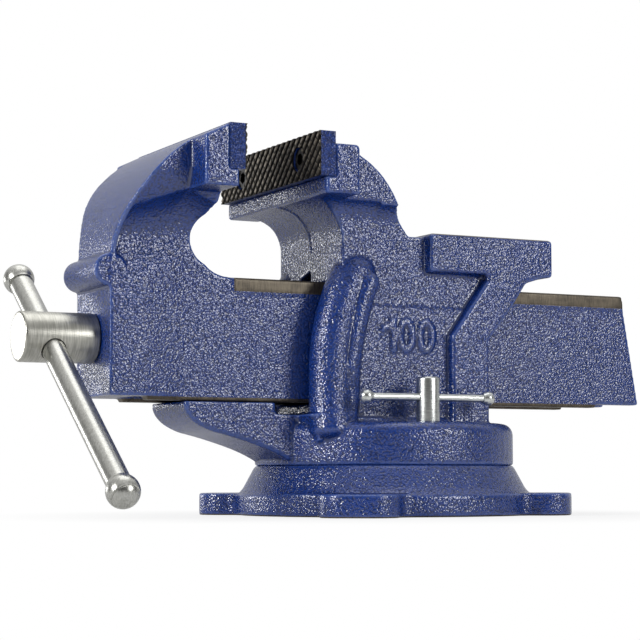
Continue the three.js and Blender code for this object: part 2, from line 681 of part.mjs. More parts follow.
// A part made upright about the origin, laid along the handle.
function onHandle(made) {
  return made.rotate([-HANDLE_TILT, 0, 0]).translate([CROSS_X, 0, SPINDLE_Z]);
}

function handleBar() {
  return onHandle(rodZ(-HANDLE_DOWN - 3, HANDLE_UP + 3, HANDLE_R, 0, 0, 32));
}

// A knob turned with a small neck towards the bar and a flat at its end.
function knob(r, rod, way, at, steps, sides) {
  const points = [];
  const from = Math.asin((rod + 0.9) / r);
  const to = PI - Math.asin((rod * 0.62) / r);
  points.push([0, way * (at - r * cos(from) - 1)]);
  points.push([rod + 0.9, way * (at - r * cos(from) - 1)]);
  for (let k = 0; k <= steps; k++) {
    const a = from + ((to - from) * k) / steps;
    points.push([r * sin(a), way * (at - r * cos(a))]);
  }
  points.push([0, points[points.length - 1][1]]);
  if (way < 0) points.reverse();
  return turned(points, sides);
}

function handleBall(way, at) {
  const seat = rodZ(-HANDLE_DOWN - 3 - GAP / 3, HANDLE_UP + 3 + GAP / 3, HANDLE_R + GAP / 3, 0, 0, 32);
  return onHandle(cut(knob(HANDLE_BALL_R, HANDLE_R, way, at, 9, 28), seat));
}

// ---- Nut block ----------------------------------------------------------------------------------------------------

function spindleNut() {
  const top = 6;
  const s = new THREE.Shape();
  s.moveTo(-NUT_HALF, ARM_TOP);
  s.lineTo(NUT_HALF, ARM_TOP);
  s.lineTo(NUT_HALF, NUT_TOP - top);
  s.absarc(NUT_HALF - top, NUT_TOP - top, top, 0, PI / 2, false);
  s.absarc(-NUT_HALF + top, NUT_TOP - top, top, PI / 2, PI, false);
  s.closePath();
  const x = (NUT_X0 + NUT_X1) / 2;
  return cut(
    alongX(s, NUT_X0, NUT_X1, 8),
    rodX(NUT_X0 - PAST, NUT_X1 + PAST, SPINDLE_R + GAP, 0, SPINDLE_Z, 40),
    rodZ(ARM_TOP - PAST, ARM_TOP + 12, NUT_BOLT_R + GAP, x, 0, 32),
  );
}

function nutBolt() {
  const x = (NUT_X0 + NUT_X1) / 2;
  const seat = BASE_H + 8.3;
  const head = rodZ(seat - 5, seat, 6.5, x, 0, 6);
  return joined(head, rodZ(seat - 1, ARM_TOP + 11, NUT_BOLT_R, x, 0, 28));
}

// ---- Swivel locks -------------------------------------------------------------------------------------------------

function lockScrew(side) {
  const y = side * LOCK_Y;
  const r = LOCK_SCREW_R;
  const head = turned([
    [0, PLATE_TOP], [r, PLATE_TOP], [r, LOCK_TOP - 1.4], [r - 1.4, LOCK_TOP], [0, LOCK_TOP],
  ], 32).translate([LOCK_X, y, 0]);
  const shank = rodZ(CHAMBER_Z + 1.4, PLATE_TOP + 1, LOCK_SHANK_R, LOCK_X, y, 24);
  const cross = rodX(LOCK_X - 9, LOCK_X + 9, LOCK_BAR_R + GAP, y, LOCK_BAR_Z, 20);
  return cut(joined(head, shank), cross);
}

function lockNut(side) {
  const y = side * LOCK_Y;
  const lip = BASE_H - SLOT_LIP;
  const nut = box(LOCK_X - 8, LOCK_X + 8, y - CHAMBER_HALF + 1.6, y + CHAMBER_HALF - 1.6, CHAMBER_Z + 1, lip);
  const boss = rodZ(lip - 1, BASE_H - 0.6, SLOT_HALF - GAP, LOCK_X, y, 24);
  return cut(joined(nut, boss), rodZ(0, BASE_H + PAST, LOCK_SHANK_R + GAP / 3, LOCK_X, y, 24));
}

function lockBar(side) {
  const y = side * LOCK_Y;
  return rodX(LOCK_X - LOCK_BAR_HALF, LOCK_X + LOCK_BAR_HALF, LOCK_BAR_R, y, LOCK_BAR_Z, 20);
}

function lockBall(side, way) {
  const seat = rodZ(-LOCK_BAR_HALF - 0.1, LOCK_BAR_HALF + 0.1, LOCK_BAR_R + 0.1, 0, 0, 14);
  const ball = cut(knob(LOCK_BALL_R, LOCK_BAR_R, way, LOCK_BAR_HALF, 5, 14), seat);
  return ball.rotate([0, 90, 0]).translate([LOCK_X, side * LOCK_Y, LOCK_BAR_Z]);
}

// ---- Assembly -----------------------------------------------------------------------------------------------------

const finish = {
  paint: new THREE.MeshStandardMaterial({ color: 0x3f5597, roughness: 0.42, metalness: 0.25 }),
  plate: new THREE.MeshStandardMaterial({ color: 0x3a3734, roughness: 0.5, metalness: 0.8 }),
  steel: new THREE.MeshStandardMaterial({ color: 0x98978f, roughness: 0.35, metalness: 0.95 }),
  zinc: new THREE.MeshStandardMaterial({ color: 0xcfd2cd, roughness: 0.22, metalness: 1 }),
  black: new THREE.MeshStandardMaterial({ color: 0x2a2a2c, roughness: 0.5, metalness: 0.7 }),
  iron: new THREE.MeshStandardMaterial({ color: 0x6b6a66, roughness: 0.6, metalness: 0.6 }),
};

const vise = new THREE.Group();
vise.name = "bench_vise";

function place(name, made, slot) {
  const mesh = new THREE.Mesh(geometryOf(made), finish[slot].clone());
  mesh.name = name;
  mesh.material.name = slot;
  vise.add(mesh);
}

place("base", base(), "paint");
place("body", body(), "paint");
place("fixed_insert", insert(FIXED_FACE_X, -1), "plate");
place("fixed_screw_near", jawScrew(FIXED_FACE_X, -1, -1), "black");
place("fixed_screw_far", jawScrew(FIXED_FACE_X, -1, 1), "black");
place("spindle_nut", spindleNut(), "iron");
place("nut_bolt", nutBolt(), "zinc");
for (const [label, side] of [["near", -1], ["far", 1]]) {
  place("lock_nut_" + label, lockNut(side), "zinc");
  place("lock_screw_" + label, lockScrew(side), "zinc");
  place("lock_bar_" + label, lockBar(side), "zinc");
  place("lock_ball_" + label + "_front", lockBall(side, -1), "zinc");
  place("lock_ball_" + label + "_rear", lockBall(side, 1), "zinc");
}
place("movable_jaw", movableJaw(), "paint");
place("movable_insert", insert(MOVING_FACE_X, 1), "plate");
place("movable_screw_near", jawScrew(MOVING_FACE_X, 1, -1), "black");
place("movable_screw_far", jawScrew(MOVING_FACE_X, 1, 1), "black");
place("spindle", spindle(), "steel");
place("spindle_collar", spindleCollar(), "steel");
place("collar_pin", collarPin(), "steel");
place("handle_bar", handleBar(), "steel");
place("handle_ball_upper", handleBall(1, HANDLE_UP), "steel");
place("handle_ball_lower", handleBall(-1, HANDLE_DOWN), "steel");

export default vise;
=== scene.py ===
# %% [markdown]
# # A bench vise with a swivel base
# The packed CAD model is the frame: it fixes every size, every place and every joint. What this
# lesson adds is what the eye asks for up close: soft cast edges under hammered paint, a knurl cut
# into steel, a screw thread, and bright turned bars. Each piece rides on the body that carries it.

# %% Load the frame
import json
import math
from contextlib import contextmanager
import bmesh
import bpy
import numpy as np
from mathutils import Matrix, Vector


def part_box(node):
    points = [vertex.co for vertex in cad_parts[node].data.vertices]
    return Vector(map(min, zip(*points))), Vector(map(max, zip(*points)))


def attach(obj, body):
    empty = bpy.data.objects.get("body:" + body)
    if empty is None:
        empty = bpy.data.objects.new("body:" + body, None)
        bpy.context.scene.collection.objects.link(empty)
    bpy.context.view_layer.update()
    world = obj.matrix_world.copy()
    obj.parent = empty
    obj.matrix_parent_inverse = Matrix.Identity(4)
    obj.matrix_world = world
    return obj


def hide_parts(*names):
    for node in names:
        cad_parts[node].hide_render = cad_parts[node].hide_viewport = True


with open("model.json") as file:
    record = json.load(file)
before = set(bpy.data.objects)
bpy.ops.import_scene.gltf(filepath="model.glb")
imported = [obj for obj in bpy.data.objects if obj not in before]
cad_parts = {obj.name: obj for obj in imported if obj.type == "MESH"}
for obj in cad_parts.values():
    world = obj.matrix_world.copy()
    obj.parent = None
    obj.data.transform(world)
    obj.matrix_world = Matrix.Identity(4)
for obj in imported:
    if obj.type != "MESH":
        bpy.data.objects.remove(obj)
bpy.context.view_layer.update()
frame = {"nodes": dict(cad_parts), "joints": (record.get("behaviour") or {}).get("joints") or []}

MM = 0.001

# %% [markdown]
# ## The camera
# A long lens from low down at the front left. A camera is easiest to place from its own three
# directions: right, up and back are the columns of its matrix, so there is no Euler order to get
# wrong. The heading turns about Z, then the lens tips up a little.

# %% The camera
CAMERA_PLACE = Vector((-0.4269, -0.7683, 0.0163))
HEADING = math.radians(-27.2)
TIP_UP = math.radians(4.64)
ROLL = math.radians(-0.09)
LENS = 109.68


def aim(place, heading, tip, roll):
    right = Vector((math.cos(heading), math.sin(heading), 0))
    level = Vector((-math.sin(heading), math.cos(heading), 0))
    ahead = level * math.cos(tip) + Vector((0, 0, math.sin(tip)))
    up = right.cross(ahead)
    turned_right = right * math.cos(roll) + up * math.sin(roll)
    turned_up = up * math.cos(roll) - right * math.sin(roll)
    axes = Matrix((turned_right, turned_up, -ahead)).transposed()
    return Matrix.Translation(place) @ axes.to_4x4()


camera = bpy.data.objects.new("camera", bpy.data.cameras.new("camera"))
bpy.context.scene.collection.objects.link(camera)
bpy.context.scene.camera = camera
camera.matrix_world = aim(CAMERA_PLACE, HEADING, TIP_UP, ROLL)
camera.data.lens = LENS
camera.data.clip_start, camera.data.clip_end = 0.01, 100

# %% [markdown]
# ## Formulas as node trees
# A pattern is a formula, and a formula drawn as fifty boxes is hard to read. One small class wraps
# an output socket and overloads the operators, so that `1 - mask * 0.5` adds its own Math nodes.
# The same class serves shader trees and geometry trees, because both hold Math nodes.

# %% A wire that does arithmetic
class Wire:
    def __init__(self, tree, socket):
        self.tree, self.socket = tree, socket

    def math(self, operation, *others):
        return self.tree.node("ShaderNodeMath", {"operation": operation}, dict(enumerate((self, *others))))

    def __add__(self, other):
        return self.math("ADD", other)

    def __mul__(self, other):
        return self.math("MULTIPLY", other)

    def __sub__(self, other):
        return self.math("SUBTRACT", other)

    def __truediv__(self, other):
        return self.math("DIVIDE", other)

    def __rsub__(self, other):
        return self.tree.node("ShaderNodeMath", {"operation": "SUBTRACT"}, {0: other, 1: self})

    def __rtruediv__(self, other):
        return self.tree.node("ShaderNodeMath", {"operation": "DIVIDE"}, {0: other, 1: self})

    __radd__, __rmul__ = __add__, __mul__

    def between(self, low, high, to_low=0.0, to_high=1.0):
        """A smooth ramp from to_low at low to to_high at high, held level outside."""
        settings = {"interpolation_type": "SMOOTHSTEP"}
        values = {"Value": self, "From Min": low, "From Max": high, "To Min": to_low, "To Max": to_high}
        return self.tree.node("ShaderNodeMapRange", settings, values)


class Tree:
    """A node tree that makes any node from its type, its settings and its sockets' values."""

    def __init__(self, nodes):
        self.nodes = nodes

    def node(self, kind, settings=None, values=None, out=0):
        made = self.nodes.nodes.new(kind)
        for name, value in (settings or {}).items():
            setattr(made, name, value)
        for key, value in (values or {}).items():
            if isinstance(value, Wire):
                self.nodes.links.new(value.socket, made.inputs[key])
            elif value is not None:
                made.inputs[key].default_value = value
        return Wire(self, made.outputs[out]) if made.outputs else made

    def blend(self, factor, first, second):
        """A colour between two colours."""
        def colour(value):
            return value if isinstance(value, Wire) else (*value, 1)
        settings = {"data_type": "RGBA", "clamp_factor": True}
        values = {0: factor, 6: colour(first), 7: colour(second)}
        return self.node("ShaderNodeMix", settings, values, out=2)


def srgb(red, green, blue):
    """Screen values from 0 to 255 as the linear colour that a shader wants."""
    def linear(v):
        v = v / 255
        return v / 12.92 if v <= 0.04045 else ((v + 0.055) / 1.055) ** 2.4
    return (linear(red), linear(green), linear(blue))


print("a wire has", len([n for n in vars(Wire) if not n.startswith("_")]), "named methods")

# %% [markdown]
# ## The studio
# Gloss paint and bright steel show the room more than themselves, so the room is built for its
# reflections: dark towards the camera, a pale backdrop behind the vise and a dim ceiling. All of it is
# one gradient by direction, seen only in reflections. To the camera the room is plain white, and as a
# light it is a plain even grey, so colours stay as they are mixed.

# %% The room
world = bpy.data.worlds.new("room")
bpy.context.scene.world = world
world.use_nodes = True
world.node_tree.nodes.clear()
room = Tree(world.node_tree)
camera_ray = room.node("ShaderNodeLightPath")
glossy_ray = Wire(room, camera_ray.socket.node.outputs["Is Glossy Ray"])
direction = room.node("ShaderNodeTexCoord")


def facing(compass):
    """1 for a direction that lies towards the compass angle in plan, -1 away from it."""
    turn = math.radians(compass)
    values = {0: direction, 1: (math.cos(turn), math.sin(turn), 0)}
    return room.node("ShaderNodeVectorMath", {"operation": "DOT_PRODUCT"}, values, out="Value")


CAMERA_SIDE = 240.9
backdrop = facing(CAMERA_SIDE + 180).between(-0.1, 0.75)
parts = room.node("ShaderNodeSeparateXYZ", {}, {0: direction})
height = Wire(room, parts.socket.node.outputs["Z"])
ceiling = height.between(0.35, 0.95)
reflected = 0.03 + backdrop * 0.6 + ceiling * 0.7
SOFT_LIGHT = 0.36
strength = camera_ray + (1 - camera_ray) * (glossy_ray * reflected + (1 - glossy_ray) * SOFT_LIGHT)
shade = room.node("ShaderNodeBackground", {}, {"Color": (1, 1, 1, 1), "Strength": strength})
room.node("ShaderNodeOutputWorld", {}, {"Surface": shade})
print("room light", SOFT_LIGHT)

# %% [markdown]
# ## Floor and lamps
# Two large soft boxes stand half-way round on each side of the camera. A face that looks 28 degrees
# away from the camera mirrors one of them, which is what makes hammered paint sparkle on the flat
# sides and stay deep blue in the hollows. A third box, small and low, stands behind on the left and
# brightens the fixed jaw's throat, and a weak lamp hangs above. The floor is white paper, darker only
# where the vise shades it.

# %% Floor and lamps
def lamp(name, place, target, width, height, power):
    data = bpy.data.lights.new(name, "AREA")
    data.shape = "RECTANGLE"
    data.size, data.size_y, data.energy = width, height, power
    made = bpy.data.objects.new(name, data)
    bpy.context.scene.collection.objects.link(made)
    made.location = place
    made.rotation_mode = "QUATERNION"
    made.rotation_quaternion = (Vector(target) - Vector(place)).to_track_quat("-Z", "Y")
    made.visible_camera = False
    return made


CENTRE = Vector((-0.02, 0, 0.08))


def soft_box(name, side, far, rise, width, height, power):
    """A lamp that stands at that many degrees to the camera's right, as seen from the vise."""
    turn = math.radians(CAMERA_SIDE + side)
    place = CENTRE + Vector((far * math.cos(turn), far * math.sin(turn), rise))
    return lamp(name, place, CENTRE, width, height, power)


soft_box("box_left", -54, 2.4, 0.85, 0.55, 0.80, 34)
soft_box("box_right", 55.5, 2.4, 0.70, 0.80, 0.80, 20)
soft_box("box_back", -120, 2.0, 0.14, 0.30, 0.24, 4)
lamp("top", (0.0, 0.1, 1.0), CENTRE, 0.7, 0.7, 2.0)

FLOOR_HALF = 6.0
SHADOW_NEAR, SHADOW_FAR = 0.085, 0.20
mesh = bpy.data.meshes.new("floor")
corners = [(x * FLOOR_HALF, y * FLOOR_HALF, 0) for x, y in ((-1, -1), (1, -1), (1, 1), (-1, 1))]
mesh.from_pydata(corners, [], [(0, 1, 2, 3)])
floor = bpy.data.objects.new("floor", mesh)
bpy.context.scene.collection.objects.link(floor)
floor.location.z = -0.0002

floor_material = bpy.data.materials.new("floor_paper")
floor_material.use_nodes = True
floor_material.node_tree.nodes.clear()
paper = Tree(floor_material.node_tree)
place = paper.node("ShaderNodeTexCoord", {}, {}, out="Object")
reach = paper.node("ShaderNodeVectorMath", {"operation": "LENGTH"}, {0: place}, out="Value")
seen = paper.node("ShaderNodeLightPath")
white = paper.node("ShaderNodeEmission", {}, {"Color": (1, 1, 1, 1), "Strength": 1.0})
matt = paper.node("ShaderNodeBsdfDiffuse", {}, {"Color": (0.86, 0.86, 0.86, 1)})
share = seen * reach.between(SHADOW_NEAR, SHADOW_FAR, 0.80, 1.0)
surface = paper.node("ShaderNodeMixShader", {}, {0: share, 1: matt, 2: white})
paper.node("ShaderNodeOutputMaterial", {}, {"Surface": surface})
mesh.materials.append(floor_material)
bpy.context.scene.view_settings.view_transform = "Standard"
print("floor", 2 * FLOOR_HALF, "m wide")

# %% [markdown]
# ## Hammered paint
# Hammer finish is a thick enamel with metal flake that pulls itself into small blisters as it dries:
# worm-like cells about a millimetre across, proud in the middle and thin at their edges. Voronoi cells
# with their coordinates stirred by noise give the worms. The height feeds a bump, and the same height
# darkens the seams as painted shade. Each casting also carries how hollow or how edgy it is at each
# point: in the corners the paint lies smooth and its colour is darkened as painted shade, and over the
# edges its colour is paled as a painted highlight.

# %% A material with its Principled shader
def finish(name, **constants):
    """A new material: its tree, and a function that closes it."""
    material = bpy.data.materials.new(name)
    material.use_nodes = True
    material.node_tree.nodes.clear()
    tree = Tree(material.node_tree)

    def close(**values):
        named = {key.replace("_", " "): value for key, value in {**constants, **values}.items()}
        shader = tree.node("ShaderNodeBsdfPrincipled", {}, named)
        tree.node("ShaderNodeOutputMaterial", {}, {"Surface": shader})
        return material

    return tree, close


def here(tree):
    return tree.node("ShaderNodeTexCoord", {}, {}, out="Object")


def axes(tree, where):
    """The three coordinates of a place, each as a wire."""
    split = tree.node("ShaderNodeSeparateXYZ", {}, {0: where}).socket.node
    return [Wire(tree, split.outputs[name]) for name in "XYZ"]


def noise(tree, where, scale, detail=2.0, colour=False):
    values = {"Vector": where, "Scale": scale, "Detail": detail}
    return tree.node("ShaderNodeTexNoise", {}, values, out="Color" if colour else "Fac")


def stirred(tree, where, scale, by):
    """Coordinates pushed about by noise, which bends straight patterns."""
    swirl = noise(tree, where, scale, 1.0, colour=True)
    centred = tree.node("ShaderNodeVectorMath", {"operation": "SUBTRACT"}, {0: swirl, 1: (0.5, 0.5, 0.5)})
    pushed = tree.node("ShaderNodeVectorMath", {"operation": "SCALE"}, {0: centred, "Scale": by})
    return tree.node("ShaderNodeVectorMath", {"operation": "ADD"}, {0: where, 1: pushed})


def streaks(tree, where, stretch, scale):
    """Noise drawn out along one direction, as tool marks are."""
    squeezed = tree.node("ShaderNodeMapping", {"vector_type": "POINT"}, {"Vector": where, "Scale": stretch})
    return noise(tree, squeezed, scale, 3.0)


def bump(tree, height, distance, strength=1.0):
    return tree.node("ShaderNodeBump", {}, {"Height": height, "Distance": distance, "Strength": strength})


print("finishes read the object's own coordinates")

# %% The paint itself
# painted shade: the colour that darkens the seams between the paint's cells
PAINT_SEAM_SHADE = srgb(10, 36, 92)
PAINT_FACE = srgb(15, 52, 128)
PAINT_FLAKE = srgb(74, 90, 160)
# painted shade for the hollows and inside corners
PAINT_HOLLOW_SHADE = srgb(12, 34, 86)
# painted highlight for the convex edges
PAINT_EDGE_HIGHLIGHT = srgb(78, 106, 178)
CELL = 0.98 * MM
FLAKE = 0.5 * MM
BLISTER = 0.13 * MM
GLOSS = 0.19
GROUND_DARK = srgb(50, 43, 34)
GROUND_PALE = srgb(104, 95, 80)


def hammer_height(tree, where):
    """0 in the thin seams between the paint's cells, 1 on top of them."""
    bent = stirred(tree, where, 0.7 / CELL, 0.8 * CELL)
    values = {"Vector": bent, "Scale": 1 / CELL, "Smoothness": 0.25, "Randomness": 1.0}
    cells = tree.node("ShaderNodeTexVoronoi", {"feature": "SMOOTH_F1"}, values, out="Distance")
    fine = noise(tree, where, 1.3 / CELL, 1.0)
    return 1 - cells * cells * 2.0 + (fine - 0.5) * 0.8


def painted(name, bare=None):
    """Hammered paint. bare takes (tree, x, y, z) and says where the metal is ground bare, from 0 to 1."""
    tree, close = finish(name, IOR=1.8)
    where = here(tree)
    cells = hammer_height(tree, where)
    fold = tree.node("ShaderNodeAttribute", {"attribute_name": "fold"}, {}, out="Fac")
    hollow = fold.between(0.56, 0.80)
    edge = (1 - fold).between(0.60, 0.90)
    bulge = (1 - fold).between(0.56, 0.64)
    flake = noise(tree, where, 1 / FLAKE, 1.0)
    # painted shade: the seams between the cells are darkened
    colour = tree.blend(cells.between(0.0, 0.7), PAINT_SEAM_SHADE, PAINT_FACE)
    colour = tree.blend(cells.between(0.5, 1.0) * flake.between(0.5, 0.7) * 0.15, colour, PAINT_FLAKE)
    # painted shade: the colour is darkened in the hollows, where the paint also lies smooth
    colour = tree.blend(hollow * 0.9, colour, PAINT_HOLLOW_SHADE)
    # painted highlight: the colour is paled along the edges
    colour = tree.blend(edge * 0.4, colour, PAINT_EDGE_HIGHLIGHT)
    level = cells * (1 - hollow * 0.8) * (1 - bulge * 0.45)
    rough, metallic = GLOSS, 0.0
    if bare:
        shown = bare(tree, *axes(tree, where))
        lines = streaks(tree, where, (6, 6, 0.5), 1 / (2.2 * MM))
        stain = noise(tree, where, 1 / (5 * MM), 4.0)
        ground = tree.blend((lines * 0.55 + stain * 0.45).between(0.3, 0.7), GROUND_DARK, GROUND_PALE)
        colour = tree.blend(shown, colour, ground)
        rough = rough + shown * (0.16 + lines * 0.14)
        level = level * (1 - shown) + shown * lines * 0.12
        metallic = shown * 0.7
    return close(Base_Color=colour, Roughness=rough, Metallic=metallic, Normal=bump(tree, level, BLISTER))


print("paint cells", round(CELL / MM, 2), "mm")

# %% [markdown]
# ## Where the castings are ground
# The slide runs in the body, so its two rails and the ways under it are ground bare, and the sides
# between them stay painted. So is the anvil's top, which has to be flat, and the underside that sits
# on the bench. Each of these is a mask made from the coordinates of the casting itself.

# %% Ground places
SLIDE_TOP = 101.6 * MM
RAIL = 5.8 * MM
WAY_TOP = 50.4 * MM
RAIL_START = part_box("movable_insert")[1].x + 9 * MM
ANVIL_TOP = 123.4 * MM
ANVIL_START = 4 * MM
CRISP = 0.15 * MM


def ground_slide(tree, x, y, z):
    """The rails at the top of the slide and the ways under it."""
    rail = z.between(SLIDE_TOP - RAIL - CRISP, SLIDE_TOP - RAIL + CRISP)
    behind = x.between(RAIL_START - CRISP, RAIL_START + CRISP)
    way = z.between(WAY_TOP - CRISP, WAY_TOP + CRISP, 1, 0)
    return rail * behind * z.between(SLIDE_TOP + 2 * MM, SLIDE_TOP + 3 * MM, 1, 0) + way


def ground_anvil(tree, x, y, z):
    """Only the flat top, from its front edge on, and nothing of what stands above it."""
    flat = z.between(ANVIL_TOP - 0.7 * MM, ANVIL_TOP - 0.35 * MM)
    above = z.between(ANVIL_TOP + MM, ANVIL_TOP + 1.5 * MM)
    return flat * (1 - above) * x.between(ANVIL_START - CRISP, ANVIL_START + CRISP)


def ground_foot(tree, x, y, z):
    return z.between(0.4 * MM, 0.8 * MM, 1, 0)


jaw_paint = painted("jaw_paint", ground_slide)
body_paint = painted("body_paint", ground_anvil)
base_paint = painted("base_paint", ground_foot)
print("rails are bare from x", round(RAIL_START / MM, 1), "mm")

# %% [markdown]
# ## Bare metals
# Turned steel, bright zinc, black oxide and plain iron. What tells them apart is less the colour than
# the roughness and the direction of the tool marks: a turned bar carries fine rings across its length,
# a drawn bar carries lines along it.

# %% Metals
def metal(name, dark, light, rough, stretch, depth=0.02, stain=0.4):
    tree, close = finish(name, Metallic=1.0)
    where = here(tree)
    marks = streaks(tree, where, stretch, 1 / (1.2 * MM))
    cloud = noise(tree, where, 1 / (9 * MM), 3.0)
    colour = tree.blend(marks.between(0.3, 0.7), dark, light)
    colour = tree.blend(cloud.between(0.5, 0.8) * stain, colour, dark)
    return close(
        Base_Color=colour,
        Roughness=rough + marks * 0.12 + cloud * 0.06 - 0.09,
        Normal=bump(tree, marks, depth * MM, 0.6),
    )


steel = metal("turned_steel", srgb(158, 157, 149), srgb(194, 193, 185), 0.33, (2.5, 0.2, 0.2), 0.002, 0.2)
bar_steel = metal("drawn_steel", srgb(174, 174, 168), srgb(200, 200, 195), 0.30, (2, 2, 0.12), 0.001, 0.15)
zinc = metal("bright_zinc", srgb(196, 200, 198), srgb(232, 235, 232), 0.3, (0.4, 0.4, 3), 0.003, 0.25)
black = metal("black_oxide", srgb(26, 26, 28), srgb(52, 51, 52), 0.36, (1, 1, 1), 0.02)
iron = metal("cast_iron", srgb(84, 82, 78), srgb(120, 117, 110), 0.5, (1, 1, 1), 0.06)
print("metals:", [m.name for m in (steel, bar_steel, zinc, black, iron)])

# %% [markdown]
# ## Mesh helpers
# Turned pieces are all one idea: a profile of radius against length, spun about an axis. The helper
# takes the axis as a start and a direction, and closes both ends on the axis, so the piece is a
# closed solid. Smooth shading goes only over edges that are softer than a set angle.

# %% Turned pieces
def link(name, mesh, material):
    made = bpy.data.objects.new(name, mesh)
    bpy.context.scene.collection.objects.link(made)
    mesh.materials.clear()
    mesh.materials.append(material)
    return made


@contextmanager
def opened(mesh):
    """The mesh opened for work; what was done to it is written back at the end."""
    shape = bmesh.new()
    shape.from_mesh(mesh)
    yield shape
    shape.to_mesh(mesh)
    shape.free()


def solid(name, shape, material):
    """A finished bmesh as an object."""
    mesh = bpy.data.meshes.new(name)
    shape.to_mesh(mesh)
    shape.free()
    return link(name, mesh, material)


def soften(mesh, degrees=35):
    """Smooth shading, with edges sharper than the angle kept crisp."""
    mesh.shade_smooth()
    limit = math.radians(degrees)
    with opened(mesh) as shape:
        for edge in shape.edges:
            edge.smooth = edge.calc_face_angle(0) < limit


def turned(name, profile, start, direction, material, sides=72):
    """A closed solid of revolution. The profile is a list of (length along the axis, radius)."""
    axis = Vector(direction).normalized()
    across = axis.orthogonal().normalized()
    other = axis.cross(across)
    turns = [2 * math.pi * k / sides for k in range(sides)]
    spokes = [across * math.cos(a) + other * math.sin(a) for a in turns]
    shape = bmesh.new()
    rings = []
    for along, radius in profile:
        middle = Vector(start) + axis * along
        ends = [middle + spoke * radius for spoke in spokes] if radius > 1e-7 else [middle]
        rings.append([shape.verts.new(end) for end in ends])
    for first, second in zip(rings, rings[1:]):
        for k in range(sides):
            n = (k + 1) % sides
            corners = [first[k % len(first)], first[n % len(first)],
                       second[n % len(second)], second[k % len(second)]]
            shape.faces.new(list(dict.fromkeys(corners)))
    bmesh.ops.recalc_face_normals(shape, faces=shape.faces)
    made = solid(name, shape, material)
    soften(made.data)
    return made


def round_bar(name, radius, long, start, direction, material, sides=72):
    return turned(name, [(0, 0), (0, radius), (long, radius), (long, 0)], start, direction, material, sides)


def arc(centre, radius, first, last, steps=14):
    """Points on a circle from one angle to another, in degrees."""
    turns = [math.radians(first + (last - first) * k / steps) for k in range(steps + 1)]
    return [(centre[0] + radius * math.cos(a), centre[1] + radius * math.sin(a)) for a in turns]


# %% Cutting, and taking a node's shape
def worked_out(made):
    """The mesh of an object with its modifiers or its bevel worked out."""
    graph = bpy.context.evaluated_depsgraph_get()
    return bpy.data.meshes.new_from_object(made.evaluated_get(graph))


def applied(made):
    """The object's mesh with its modifiers worked out, and none left on it."""
    mesh = worked_out(made)
    made.modifiers.clear()
    old, made.data = made.data, mesh
    mesh.name = made.name
    bpy.data.meshes.remove(old)
    return made


def carve(made, *cores, how="DIFFERENCE"):
    """Takes other solids out of this one, or keeps only what lies in them."""
    for core in cores:
        knife = made.modifiers.new("core", "BOOLEAN")
        knife.operation, knife.solver, knife.object = how, "EXACT", core
    applied(made)
    for core in cores:
        bpy.data.objects.remove(core)
    return made


def cut(made, *cutters):
    carve(made, *cutters)
    soften(made.data)
    return made


def copy_of(node, name, material):
    """A node's shape as one joined mesh, ready to be worked on."""
    shape = bmesh.new()
    shape.from_mesh(frame["nodes"][node].data)
    bmesh.ops.remove_doubles(shape, verts=shape.verts, dist=1e-6)
    return solid(name, shape, material)


def middle(node):
    low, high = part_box(node)
    return (low + high) / 2


# %% [markdown]
# ## Geometry Nodes from the same wires
# What repeats by a rule, such as a knurl or a thread, is grown by Geometry Nodes. Each tree has named
# inputs for its sizes. The result is taken off as a plain mesh, so that nothing live is left.

# %% Growing a mesh
def node_group(name, sizes):
    """An empty geometry tree with one named input for each size."""
    group = bpy.data.node_groups.new(name, "GeometryNodeTree")
    group.interface.new_socket("Geometry", in_out="OUTPUT", socket_type="NodeSocketGeometry")
    for label, value in sizes.items():
        group.interface.new_socket(label, in_out="INPUT", socket_type="NodeSocketFloat").default_value = value
    entry = group.nodes.new("NodeGroupInput")
    tree = Tree(group)
    return tree, {label: Wire(tree, entry.outputs[label]) for label in sizes}


def end_group(tree, shape, material):
    whole = tree.node("GeometryNodeRealizeInstances", {}, {0: shape})
    coated = tree.node("GeometryNodeSetMaterial", {}, {"Geometry": whole, "Material": material})
    tree.node("NodeGroupOutput", {}, {0: coated})


def grown(name, tree, sizes, material):
    """An object whose mesh is what the tree makes with these sizes."""
    made = link(name, bpy.data.meshes.new(name), material)
    live = made.modifiers.new("grow", "NODES")
    live.node_group = tree.nodes
    for item in tree.nodes.interface.items_tree:
        if item.in_out == "INPUT" and item.name in sizes:
            live[item.identifier] = sizes[item.name]
    applied(made)
    return made


def tidy(made, degrees=35):
    """Doubles merged, faces turned outwards, and soft edges smooth."""
    with opened(made.data) as shape:
        bmesh.ops.remove_doubles(shape, verts=shape.verts, dist=1e-6)
        bmesh.ops.recalc_face_normals(shape, faces=shape.faces)
    soften(made.data, degrees)
    return made


print("ready to grow")

# %% [markdown]
# ## The raised number
# The jaws' width in millimetres is cast on the side. In the pattern shop such figures are cut from
# sheet and glued on, so they stand up with a flat top and a slight draft. Each is an outline filled
# and thickened, which is what a flat curve with a little bevel does.

# %% Figures for the side
def drawn(splines, corners):
    """A closed outline added to a flat curve."""
    spline = splines.new("POLY")
    spline.points.add(len(corners) - 1)
    for point, corner in zip(spline.points, corners):
        point.co = (*corner, 0, 1)
    spline.use_cyclic_u = True


def oval(centre, wide, tall, points=20):
    turns = [2 * math.pi * k / points for k in range(points)]
    return [(centre[0] + wide * math.cos(a), centre[1] + tall * math.sin(a)) for a in turns]


FIGURE_LOW, FIGURE_TALL, STROKE = 70.9 * MM, 14.7 * MM, 2.1 * MM
FIGURE_DRAFT = 0.2 * MM
NOUGHTS, NOUGHT_HALF = (-6.1 * MM, 3.9 * MM), 4.3 * MM
ONE_RIGHT, ONE_WIDE = -11.4 * MM, 6.6 * MM
PANEL_Y = -31.5 * MM


